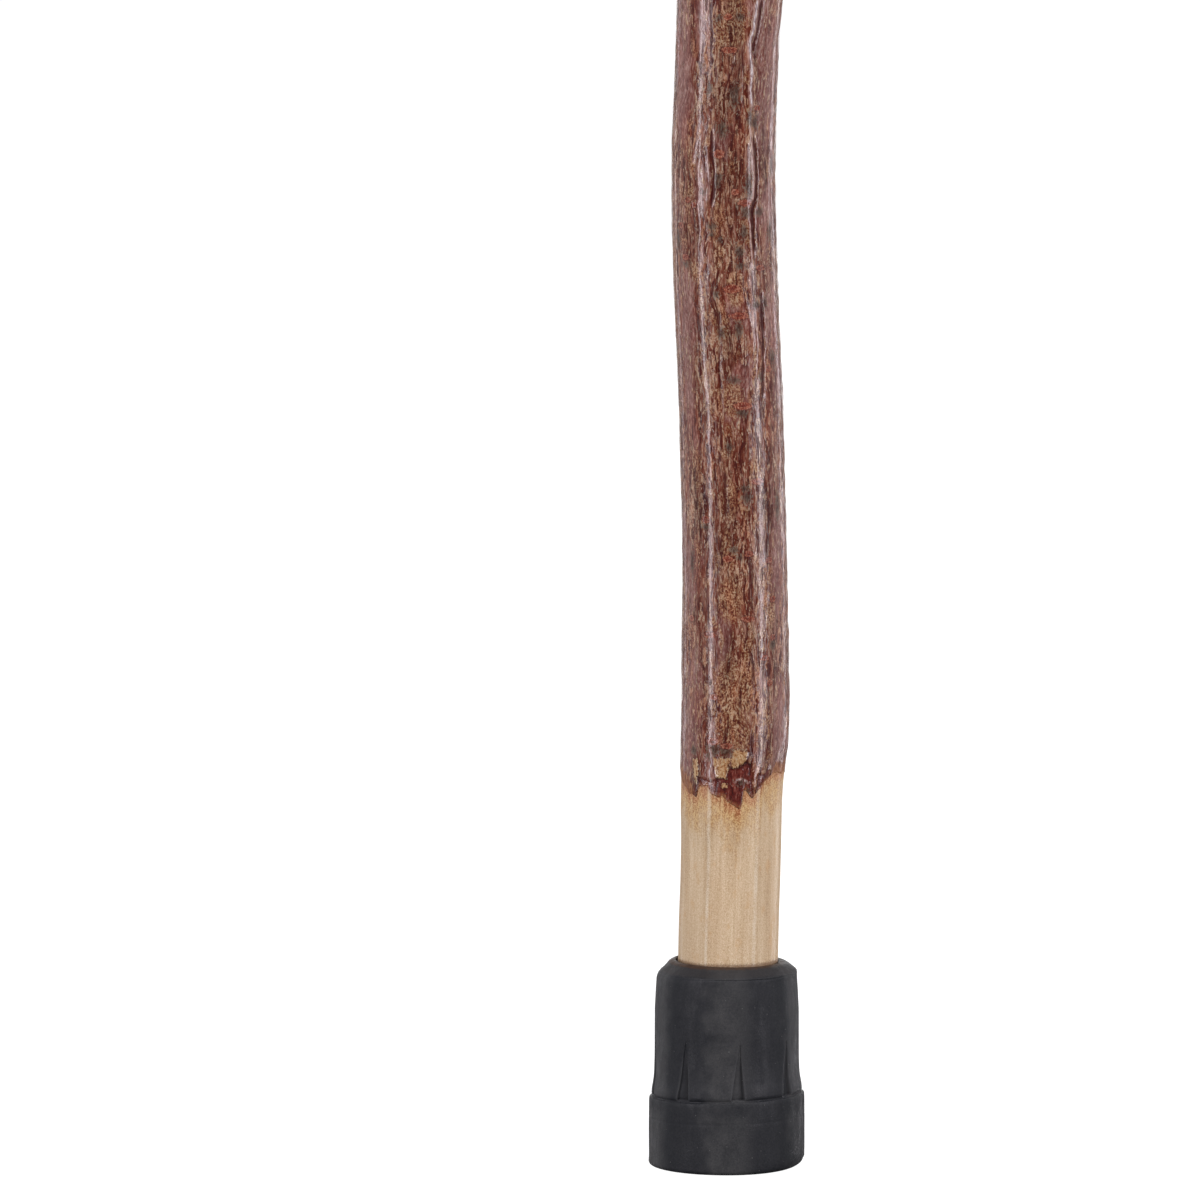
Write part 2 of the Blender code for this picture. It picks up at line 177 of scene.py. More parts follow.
def place(z, a, r):
    """World positions in metres of points at height z, angle a and radius r."""
    cx, cy = centre(z)
    t = np.radians(a)
    return np.stack([(cx + r * np.sin(t)) * MM, (cy - r * np.cos(t)) * MM,
                     z * MM + 0 * r], -1)


# ---------------------------------------------------------------------------
# noise
# ---------------------------------------------------------------------------
_lattices = {}


def noise(p, seed=0):
    """Gradient noise, about -1 to 1, at points p (..., 3)."""
    if seed not in _lattices:
        rng = np.random.RandomState(1000 + seed)
        g = rng.normal(size=(256, 3))
        _lattices[seed] = (rng.permutation(256),
                           (g / np.linalg.norm(g, axis=1)[:, None]).astype(np.float32))
    perm, grads = _lattices[seed]
    p = np.asarray(p, np.float32)
    base = np.floor(p)
    f = p - base
    i = base.astype(np.int64) & 255
    u = f * f * f * (f * (f * 6 - 15) + 10)
    total = np.zeros(p.shape[:-1], np.float32)
    for dx in (0, 1):
        hx = perm[(i[..., 0] + dx) & 255]
        wx = u[..., 0] if dx else 1 - u[..., 0]
        for dy in (0, 1):
            hy = perm[(hx + i[..., 1] + dy) & 255]
            wy = u[..., 1] if dy else 1 - u[..., 1]
            for dz in (0, 1):
                g = grads[perm[(hy + i[..., 2] + dz) & 255]]
                wz = u[..., 2] if dz else 1 - u[..., 2]
                dot = (g[..., 0] * (f[..., 0] - dx) + g[..., 1] * (f[..., 1] - dy)
                       + g[..., 2] * (f[..., 2] - dz))
                total += wx * wy * wz * dot
    return total * 1.6


def fbm(p, octaves, seed=0, gain=0.5):
    total, amp, p = 0.0, 1.0, np.asarray(p, float)
    for k in range(octaves):
        total = total + amp * noise(p * 2 ** k + 7.3 * k, seed + k)
        amp *= gain
    return total


# ---------------------------------------------------------------------------
# meshes
# ---------------------------------------------------------------------------
def make_object(name, verts, quads=None, tris=None, smooth_shade=True):
    """An object from arrays of vertices (m) and of faces, all facing out."""
    loops, starts = [], []
    at = 0
    for faces in (quads, tris):
        if faces is not None and len(faces):
            faces = np.asarray(faces, np.int32)
            loops.append(faces.ravel())
            starts.append(at + np.arange(len(faces), dtype=np.int32) * faces.shape[1])
            at += faces.size
    mesh = bpy.data.meshes.new(name)
    mesh.vertices.add(len(verts))
    mesh.vertices.foreach_set("co", np.asarray(verts, np.float32).ravel())
    mesh.loops.add(at)
    mesh.loops.foreach_set("vertex_index", np.concatenate(loops))
    starts = np.concatenate(starts)
    mesh.polygons.add(len(starts))
    mesh.polygons.foreach_set("loop_start", starts)
    mesh.update(calc_edges=True)
    mesh.validate()
    if smooth_shade:
        mesh.shade_smooth()
    obj = bpy.data.objects.new(name, mesh)
    bpy.context.scene.collection.objects.link(obj)
    return obj


def set_attribute(obj, name, values):
    values = np.asarray(values, np.float32)
    if values.ndim == 1:
        attr = obj.data.attributes.new(name, "FLOAT", "POINT")
        attr.data.foreach_set("value", values)
    else:
        attr = obj.data.attributes.new(name, "FLOAT_VECTOR", "POINT")
        attr.data.foreach_set("vector", values.ravel())


def grid_quads(rows, cols, closed_rows=False, flip=False):
    """Faces of a grid that is closed around its columns."""
    r = np.arange(rows if closed_rows else rows - 1)[:, None]
    k = np.arange(cols)[None, :]
    a = r * cols + k
    b = r * cols + (k + 1) % cols
    up = (r + 1) % rows
    c = up * cols + (k + 1) % cols
    d = up * cols + k
    order = (a, d, c, b) if flip else (a, b, c, d)
    return np.stack([np.broadcast_to(o, (len(r), cols)) for o in order], -1).reshape(-1, 4)


def lathe(name, outline, segments, angles=None, shift=None, close_axis=True):
    """Turn an outline of (radius, height) mm around Z, bottom centre first.

    `angles` gives each ring's column angles; `shift` moves ring points.
    """
    base = np.arange(segments) * 360.0 / segments
    rings = []
    for n, (r, z) in enumerate(outline):
        a = base if angles is None else angles(n, r, z, base)
        rr = np.full(segments, float(r))
        zz = np.full(segments, float(z))
        if shift is not None:
            rr, zz = shift(n, rr, zz, a)
        t = np.radians(a)
        rings.append(np.stack([rr * np.sin(t), -rr * np.cos(t), zz], -1))
    verts = np.concatenate(rings)
    quads = grid_quads(len(outline), segments, closed_rows=not close_axis)
    tris = None
    if close_axis:
        last = len(verts)
        verts = np.concatenate([verts, [[0, 0, outline[0][1]], [0, 0, outline[-1][1]]]])
        k = np.arange(segments)
        m = (k + 1) % segments
        top = (len(outline) - 1) * segments
        tris = np.concatenate([
            np.stack([np.full(segments, last), m, k], -1),
            np.stack([np.full(segments, last + 1), top + k, top + m], -1)])
    return make_object(name, verts * MM, quads, tris)


# ---------------------------------------------------------------------------
# the bark's surface
# ---------------------------------------------------------------------------
def flow(a, z):
    """Angle and height at which the bark's fibres lie, led round the knots."""
    a2, z2 = np.array(a, float), np.array(z, float)
    for _, kz, ka, hw, hh, _, _, _ in KNOTS:
        u = np.radians(wrap(a - ka)) * R0
        w = z - kz
        q2 = np.maximum((u / (0.92 * hw)) ** 2 + (w / (0.92 * hh)) ** 2, 1.0)
        near = ease((26 - np.abs(w)) / 12)
        a2 = a2 - np.degrees(u / q2 / R0) * near
        z2 = z2 + w / q2 * near
    return a2, z2


def fibre_position(a, z):
    a2, z2 = flow(a, z)
    t = np.radians(a2)
    return np.stack([R0 * np.sin(t), -R0 * np.cos(t), z2], -1)


def right_px(x, y):
    """Angle and height on the stem of a point of the photo's right column."""
    eye = np.array(EYE) / MM
    ahead = np.array(AIM) / MM - eye
    ahead = ahead / np.linalg.norm(ahead)
    across = np.array([1.0, 0.0, 0.0])
    focal = LENS / 36.0 * 1200.0
    ray = (ahead + across * (x - 600.0) / focal
           - np.cross(across, ahead) * (y - 600.0) / focal)
    z = 140.65 + (600.0 - y) / 4.03
    for _ in range(4):
        cx, cy = centre(z)
        r = float(table(STEM, z, 3)) / 2
        ox, oy = eye[0] - cx, eye[1] - cy
        a = ray[0] ** 2 + ray[1] ** 2
        b = ox * ray[0] + oy * ray[1]
        gap = max(b * b - a * (ox * ox + oy * oy - r * r), 0.0)
        hit = eye + ray * (-b - math.sqrt(gap)) / a
        z = float(hit[2])
    return math.degrees(math.atan2(hit[0] - cx, cy - hit[1])), z


def left_px(x, y):
    """The same for the higher stretch of the stem, shown 1.145 times larger."""
    return right_px(726.5 + (x - 483.8) / 1.145, (y - 700.0) / 1.145)


def torn(x, y):
    """A point of the torn edge, read off an 11.2 times enlargement."""
    return right_px(660 + x / 11.2, 700 + y / 11.2)


# angle and height of each pore of the bark, then its half width and half height
PORES = [(*right_px(x, y), w, h) for x, y, w, h in (
    (729, 50, 2.1, 0.8), (728, 17, 1.1, 0.8), (719, 154, 1.5, 1.1),
    (757, 108, 1.0, 0.7), (745, 203, 1.9, 0.8), (761, 268, 1.6, 0.8),
    (732, 289, 2.1, 1.1), (739, 316, 2.6, 0.9), (743, 406, 2.4, 0.9),
    (758, 481.5, 1.7, 0.8), (706.4, 519.5, 1.3, 0.9), (749, 554, 1.2, 0.8),
    (728, 559, 1.3, 0.8), (769, 560, 1.0, 0.8), (773, 599, 1.1, 0.8),
    (748, 619, 1.7, 0.8), (692, 618, 1.1, 0.8), (710, 635, 1.7, 0.8),
    (773, 637, 0.9, 0.8), (765, 658, 1.2, 0.8), (770, 683, 1.0, 0.8),
    (714, 697, 1.1, 0.8), (713, 741.5, 1.5, 0.9), (726.5, 746, 1.4, 0.8),
    (688, 200, 0.9, 0.8), (682, 225, 0.9, 0.8), (769, 369, 1.0, 0.8),
    (735, 192, 1.0, 0.8), (686, 257, 1.3, 0.8), (694, 205, 0.9, 0.7))]
PORES += [(*left_px(x, y), w, h) for x, y, w, h in (
    (489.6, 81, 1.0, 0.7), (501.7, 127, 1.0, 0.7), (456.6, 97.5, 1.0, 0.7),
    (528.5, 115.4, 1.0, 0.7), (488.8, 497.7, 1.1, 0.7), (483.2, 630, 1.1, 0.7),
    (508, 690, 1.8, 0.7))]
# dark lichen-grey stains
STAINS = [(*right_px(x, y), w, h) for x, y, w, h in (
    (735, 96, 1.5, 3.6), (755, 122, 1.3, 1.9), (749, 119, 0.9, 2.2),
    (719, 18, 1.1, 1.0), (740, 17, 1.6, 1.0), (722, 130, 1.6, 2.6),
    (746, 213, 1.7, 1.9), (744, 232, 1.1, 2.0), (740, 252, 1.3, 1.7),
    (718, 177, 1.5, 1.0), (717, 184, 1.1, 1.1), (748, 185, 1.2, 4.2),
    (712, 226, 1.5, 1.1), (712, 235, 0.9, 0.9), (703, 192, 0.9, 1.0),
    (720, 240, 0.8, 1.2), (759, 212, 1.5, 1.6), (716, 294, 1.0, 1.0),
    (741, 266, 1.8, 0.9), (757, 305, 1.2, 1.3), (721, 333, 1.1, 1.6),
    (739, 330, 1.2, 2.6), (734, 380, 2.0, 1.1), (762, 377, 1.0, 1.4),
    (773, 358, 1.1, 2.6), (765, 303, 1.0, 1.8), (686, 264, 1.5, 1.0),
    (742, 413, 2.0, 1.1), (729, 447, 1.1, 1.0), (747, 497, 1.4, 2.2),
    (745, 489, 1.2, 1.2), (734, 550, 1.3, 1.0), (740, 558, 1.0, 0.9),
    (778, 505, 1.0, 4.6), (693, 562, 0.9, 3.6), (706, 527, 1.3, 0.9),
    (773, 645, 1.1, 1.5), (714, 750, 2.0, 1.7), (726, 751, 1.8, 1.8),
    (741.5, 782, 1.6, 0.7), (709, 88, 0.9, 2.0), (772, 165, 1.2, 3.0),
    (770, 230, 1.2, 3.0), (679, 240, 1.2, 3.2))]
STAINS += [(*left_px(x, y), w, h) for x, y, w, h in (
    (474, 423, 1.4, 1.0), (460, 426, 1.0, 0.9), (447.7, 439, 0.9, 1.2),
    (489.6, 492, 1.3, 0.8), (471, 507, 1.2, 1.0), (440, 505, 0.9, 1.2),
    (525, 520, 1.6, 0.9), (505.7, 539, 1.1, 0.9), (540, 525, 0.8, 1.4),
    (522, 608, 1.0, 1.2), (479, 609, 1.1, 1.0), (487, 150, 1.5, 1.0),
    (468, 155, 1.4, 0.9), (495, 90, 1.2, 0.9))]
# pale tan flakes of outer bark
FLAKES = [(*right_px(x, y), w, h) for x, y, w, h in (
    (760, 205, 1.3, 1.1), (696, 273, 2.2, 1.6), (735, 277, 2.6, 1.2),
    (724, 79, 1.0, 1.0), (731.4, 501, 0.55, 4.2), (729, 492, 0.6, 2.4),
    (770, 617, 1.0, 2.4), (739, 753, 2.0, 1.9), (730, 600, 1.2, 2.2),
    (721, 640, 0.8, 3.0), (744, 668, 1.0, 2.2), (728, 700, 1.3, 2.6),
    (712, 470, 0.6, 3.0), (756, 468, 1.2, 1.5), (705, 655, 0.7, 2.6),
    (727, 572, 0.7, 1.6), (722, 324, 0.8, 2.0), (725, 350, 0.7, 3.2),
    (735, 346, 0.6, 3.2), (736, 396, 1.3, 1.6), (682, 302, 0.5, 4.0),
    (722, 218, 1.3, 0.9), (730, 221, 1.4, 0.9), (720, 171, 1.4, 0.7),
    (709, 128, 0.8, 1.2), (704, 181, 0.9, 1.0), (745, 195, 1.4, 0.9),
    (762, 182, 1.0, 1.0), (723, 128, 0.7, 1.4))]
FLAKES += [(*left_px(x, y), w, h) for x, y, w, h in (
    (478, 180, 1.8, 1.4), (463.8, 116, 1.1, 1.6), (498, 250, 1.0, 2.4),
    (470, 330, 1.2, 2.6), (500, 400, 1.2, 2.0))]
# grooves: points (angle, height), width, depth
GROOVES = [
    ([right_px(x, y) for x, y in ((737, 50), (735.5, 62), (730, 76), (725.5, 88),
                                  (723.5, 101))], 0.38, 0.26),
    ([right_px(x, y) for x, y in ((761.5, -8), (759.5, 14), (757, 32), (752.5, 46),
                                  (750.5, 58))], 0.34, 0.42),
    ([right_px(x, y) for x, y in ((745, 52), (744, 78), (743.5, 98), (744.5, 112))],
     0.32, 0.20),
    ([right_px(x, y) for x, y in ((753, 128), (755.5, 150), (756.6, 180), (755.6, 198),
                                  (752.4, 210), (752.4, 222), (753.4, 240),
                                  (755, 260))], 0.50, 0.40),
    ([right_px(x, y) for x, y in ((718.5, 300), (719, 330), (718.5, 356), (720, 396),
                                  (721, 414))], 0.70, 0.18),
    ([right_px(x, y) for x, y in ((731, 322), (731.5, 345), (732.5, 376))], 0.55, 0.18),
    ([right_px(x, y) for x, y in ((711, 122), (711.5, 150), (714, 172), (713, 190),
                                  (710, 212))], 0.55, 0.28),
    ([right_px(x, y) for x, y in ((762, 285), (762.5, 312), (764, 345), (763.5, 372),
                                  (764, 404))], 0.55, 0.28),
    ([right_px(x, y) for x, y in ((725, 468), (724.5, 492), (725.5, 521))], 0.9, 0.20),
    ([right_px(x, y) for x, y in ((736, 484), (736.5, 504), (736, 520))], 0.8, 0.18),
    ([(39.5, 307), (39.5, 297), (37, 289)], 0.75, 0.60),
    ([(76, 415.5), (54, 410.9), (42, 404.5), (23, 392.9), (15, 384.7), (16, 368),
      (22.5, 353), (26, 343.5), (25, 328.7), (26, 314.9), (19, 303.9), (16, 296.4)],
     0.50, 0.34),
    ([left_px(456.6, 56), left_px(456.9, 76), left_px(456.0, 95)], 0.45, 0.35),
    ([left_px(524.5, 465), left_px(524.8, 484), left_px(524.0, 501)], 0.30, 0.25),
]
# thin pink lips beside the grooves, pale on their crests as a painted highlight: points, width,
# height
LIPS = [([right_px(x, y) for x, y in points], width, height)
        for points, width, height in (
    (((747.5, 122), (750, 132), (752, 150), (753.6, 165), (754.2, 180), (753.6, 195),
      (752, 206)), 0.34, 0.20),
    (((749.4, 219), (750.4, 235), (751, 250), (753.2, 266)), 0.34, 0.20),
    (((755.9, -14), (755.6, 0), (754.2, 15), (752.6, 30), (748.6, 43), (750.0, 60),
      (751.0, 75), (749.4, 90), (751.0, 105), (750.6, 118)), 0.50, 0.30),
    (((708.5, 744), (711, 752), (712.5, 762), (710, 772), (711, 780), (709, 788)),
     0.42, 0.26),
    (((733.5, 785), (736.5, 780.5), (742, 779), (747, 781.5), (749, 785)), 0.30, 0.24),
    (((697, 118), (697.5, 132), (696, 146), (694, 158), (691.5, 167)), 0.30, 0.14),
    (((700.5, 152), (698.6, 165), (698.4, 180), (699, 195), (698.5, 208), (700, 220),
      (701, 230), (699, 245), (697.5, 262)), 0.30, 0.14),
    (((707, 140), (708, 160), (710, 178), (708.6, 195), (708, 206)), 0.30, 0.14),
    (((769.5, 120), (769, 150), (768.5, 200), (769.5, 262)), 0.30, 0.12),
    (((765, 305), (766.5, 330), (767.5, 352)), 0.30, 0.14),
    (((746.5, 300), (750, 318), (753.5, 336)), 0.30, 0.12),
    (((757, 318), (758.5, 345), (757.5, 360), (756, 384)), 0.30, 0.14),
)]
# broad ridges, down which the light runs: points, half width
RIDGES = [
    ([right_px(x, y) for x, y in (
        (756, -60), (755.5, -10), (753, 30), (750, 60), (750, 100), (748, 125),
        (748, 170), (747, 205), (750, 240), (753, 280), (754, 320), (757, 360),
        (758, 400), (759, 450), (759, 580), (760, 640), (760, 700), (759, 742),
        (756, 790))],
     ((94, 0.03), (104, 0.07), (230, 0.09), (252, 0.40), (288, 0.50), (300, 0.35),
      (312, 0.0)), 1.6),
    ([right_px(x, y) for x, y in (
        (701, -60), (701, 0), (700, 60), (699, 120), (701, 160), (703, 200), (701, 230),
        (698, 262), (701, 290), (702, 325), (704, 350), (706, 380), (709, 410),
        (710, 440), (711, 510), (711, 580), (710, 640), (710, 700), (709, 742),
        (709, 790))],
     ((94, 0.03), (104, 0.11), (290, 0.14), (312, 0.0)), 1.35),
]
# broad granular, taut and dark stretches; the taut ones lie mostly on the flanks, where their
# lighter colour is partly a painted sheen
GRANULAR = [(*right_px(x, y), w, h) for x, y, w, h in (
    (736, 20, 3.6, 9), (727, 700, 4.2, 13), (730, 600, 3.6, 7), (757, 470, 2.0, 4),
    (737, 735, 3.4, 5), (736, 290, 3.2, 5), (770, 610, 2.2, 6), (722, 325, 2.4, 5),
    (697, 470, 2.0, 6), (748, 690, 2.2, 7), (696, 272, 2.6, 3), (733, 400, 3.0, 6),
    (690, 620, 2.0, 7), (730, 500, 2.6, 6), (765, 725, 2.0, 7))]
TAUT = [(*right_px(x, y), w, h) for x, y, w, h in (
    (768, 72, 4.2, 20), (764, 22, 3.4, 14), (764, 112, 3.4, 12), (683, 40, 3.6, 12), (686, 320, 4.0, 16), (684, 100, 3.0, 12),
    (690, 395, 2.6, 8), (778, 545, 2.6, 10), (690, 580, 3.0, 11), (772, 320, 3.0, 10),
    (695, 700, 3.4, 16), (686, 745, 3.6, 9), (780, 720, 2.6, 14), (700, 20, 2.0, 8))]
SHADED = [(*right_px(x, y), w, h) for x, y, w, h in (
    (730, 66, 3.6, 12), (722, 92, 3.2, 10), (735, 20, 3.2, 8), (728, 118, 3.6, 10), (729, 185, 4.4, 16), (714, 176, 2.0, 12),
    (757, 24, 1.6, 9), (763, 150, 1.6, 12), (728, 350, 2.0, 10), (729, 520, 2.4, 12),
    (719, 556, 1.6, 10), (698, 505, 1.6, 12), (766, 520, 2.0, 12), (728, 655, 2.0, 8))]
# regions of the torn edge: bare red inner bark, then flakes left standing on it
RED_PANELS = (
    ((790, 765), (870, 775), (965, 690), (1025, 720), (1035, 900), (1062, 1112),
     (1000, 1060), (945, 1010), (938, 1230), (860, 1215), (740, 1120), (640, 1110),
     (560, 1080), (600, 900), (690, 880), (735, 890), (760, 720)),
    ((412, 850), (470, 870), (560, 905), (640, 880), (700, 885), (720, 1010),
     (640, 1110), (560, 1080), (500, 1030), (455, 1010), (432, 1100), (400, 1090),
     (398, 960)),
    ((1105, 830), (1185, 830), (1215, 740), (1245, 700), (1235, 850), (1170, 960),
     (1110, 1060), (1085, 1000)),
)
TAN_PANELS = (
    ((600, 645), (800, 655), (765, 760), (738, 885), (690, 868), (640, 868),
     (615, 790)),
    ((815, 570), (900, 560), (990, 590), (968, 672), (945, 712), (870, 752),
     (800, 768), (805, 660)),
    ((368, 660), (425, 655), (432, 760), (412, 960), (385, 840)),
    ((700, 933), (740, 933), (757, 960), (740, 988), (700, 988), (684, 960)),
)
STAINS += [(*torn(x, y), w, h) for x, y, w, h in (
    (600, 560, 1.7, 1.9), (735, 565, 1.7, 1.7), (905, 925, 1.6, 0.8),
    (560, 620, 1.0, 1.4), (985, 1030, 0.8, 1.2), (380, 560, 1.2, 1.2))]


def spread_random(seed, count, low, high, keep_off):
    """Seeded places (angle, height) away from the stretch whose marks are listed."""
    rng = np.random.RandomState(seed)
    out = []
    while len(out) < count:
        a, z = rng.uniform(-180, 180), rng.uniform(low, high)
        if keep_off and abs(a) < 78 and z < 321:
            continue
        out.append((a, z, rng.uniform(0, 1), rng.uniform(0, 1)))
    return out


for a, z, u, v in spread_random(5, 150, 98, 838, True):
    PORES.append((a, z, 0.9 + 1.1 * u * u, 0.65 + 0.3 * v))
    if u > 0.35:
        STAINS.append((a + 9 * (v - 0.5), z - 1.2 - 1.5 * u, 1.0 + 0.6 * v, 0.9 + 1.6 * u))
for a, z, u, v in spread_random(6, 70, 98, 838, True):
    STAINS.append((a, z, 0.8 + 0.8 * u, 1.0 + 2.6 * v * v))
for a, z, u, v in spread_random(7, 170, 98, 838, True):
    FLAKES.append((a, z, 0.6 + 0.9 * u, 1.4 + 2.6 * v))
for a, z, u, v in spread_random(9, 60, 98, 838, True):
    GRANULAR.append((a, z, 2.0 + 2.4 * u, 4.0 + 8.0 * v))
for a, z, u, v in spread_random(10, 44, 98, 838, True):
    TAUT.append((a, z, 2.6 + 2.0 * u, 8.0 + 12.0 * v))
for a, z, u, v in spread_random(12, 40, 98, 838, True):
    SHADED.append((a, z, 2.0 + 2.0 * u, 8.0 + 9.0 * v))
for a, z, u, v in spread_random(11, 60, 104, 830, True):
    long = 8 + 22 * v
    LIPS.append(([(a, z - long / 2), (a + 2 + 2 * u, z), (a + 1, z + long / 2)],
                 0.30, 0.08 + 0.10 * u))
for a, z, u, v in spread_random(8, 26, 120, 815, True):
    lean = 10 * (u - 0.5)
    long = 12 + 26 * v
    GROOVES.append(([(a, z - long / 2), (a + lean * 0.4 + 2, z),
                     (a + lean, z + long / 2)], 0.35 + 0.3 * u, 0.2 + 0.3 * v))


def spots(places, a, z):
    """The strongest of many soft ovals at each surface point."""
    flat_a, flat_z = a.ravel(), z.ravel()
    order = np.argsort(flat_z, kind="stable")
    sorted_z = flat_z[order]
    out = np.zeros(flat_a.shape)
    for pa, pz, w, h in places:
        lo, hi = np.searchsorted(sorted_z, (pz - 3 * h, pz + 3 * h))
        idx = order[lo:hi]
        u = np.radians(wrap(flat_a[idx] - pa)) * R0 / w
        v = (flat_z[idx] - pz) / h
        out[idx] = np.maximum(out[idx], np.exp(-(u * u + v * v)))
    return out.reshape(a.shape)


def path_distance(points, a, z):
    """Distance in mm to a path, and how far along it the nearest place is."""
    best = np.full(a.shape, 99.0)
    along = np.zeros(a.shape)
    total = len(points) - 1
    lo = min(p[1] for p in points) - 4
    hi = max(p[1] for p in points) + 4
    near = (z > lo) & (z < hi)
    an, zn = a[near], z[near]
    bn, ln = best[near], along[near]
    for i in range(total):
        (a0, z0), (a1, z1) = points[i], points[i + 1]
        s1 = math.radians(a1 - a0) * R0
        u = np.radians(wrap(an - a0)) * R0
        v = zn - z0
        t = np.clip((u * s1 + v * (z1 - z0)) / (s1 * s1 + (z1 - z0) ** 2), 0, 1)
        d = np.hypot(u - t * s1, v - t * (z1 - z0))
        closer = d < bn
        bn = np.where(closer, d, bn)
        ln = np.where(closer, (i + t) / total, ln)
    best[near], along[near] = bn, ln
    return best, along


def panel_depth(outline, a, z):
    """How far inside an outline each point lies, in mm, negative outside."""
    pts = [torn(x, y) for x, y in outline]
    pa = np.radians([p[0] for p in pts]) * R0
    pz = np.array([p[1] for p in pts])
    out = np.full(a.shape, -5.0)
    near = (z < pz.max() + 3) & (np.abs(a) < 95)
    s, w = np.radians(a[near]) * R0, z[near]
    inside = np.zeros(s.shape, bool)
    dist = np.full(s.shape, 99.0)
    for i in range(len(pts)):
        j = (i + 1) % len(pts)
        x0, y0, x1, y1 = pa[i], pz[i], pa[j], pz[j]
        crosses = ((y0 > w) != (y1 > w)) & (
            s < (x1 - x0) * (w - y0) / (y1 - y0 + 1e-12) + x0)
        inside ^= crosses
        t = np.clip(((s - x0) * (x1 - x0) + (w - y0) * (y1 - y0))
                    / ((x1 - x0) ** 2 + (y1 - y0) ** 2 + 1e-12), 0, 1)
        dist = np.minimum(dist, np.hypot(s - x0 - t * (x1 - x0), w - y0 - t * (y1 - y0)))
    out[near] = np.where(inside, dist, -dist)
    return out


def low_edge(a):
    """Height of the torn edge, with its small teeth."""
    a = wrap(a)
    xs = [e[0] for e in LOW_EDGE]
    base = np.interp(a, xs, [e[1] for e in LOW_EDGE])
    t = np.radians(a)
    ring = np.stack([6.0 * np.cos(t), 6.0 * np.sin(t), 0 * t], -1)
    return base + 0.35 * noise(ring, 40) + 0.28 * noise(ring * 2.7, 41)


def high_edge(a):
    t = np.radians(a)
    ring = np.stack([4.0 * np.cos(t), 4.0 * np.sin(t), 0 * t + 3], -1)
    return (841.0 + 3.0 * np.sin(t + 0.8) + 1.5 * np.cos(3 * t)
            + 0.9 * np.sin(4 * t + 2.0) + 2.6 * noise(ring * 0.8, 42)
            + 1.5 * noise(ring * 2.2, 43) + 0.9 * noise(ring * 5.5, 44))


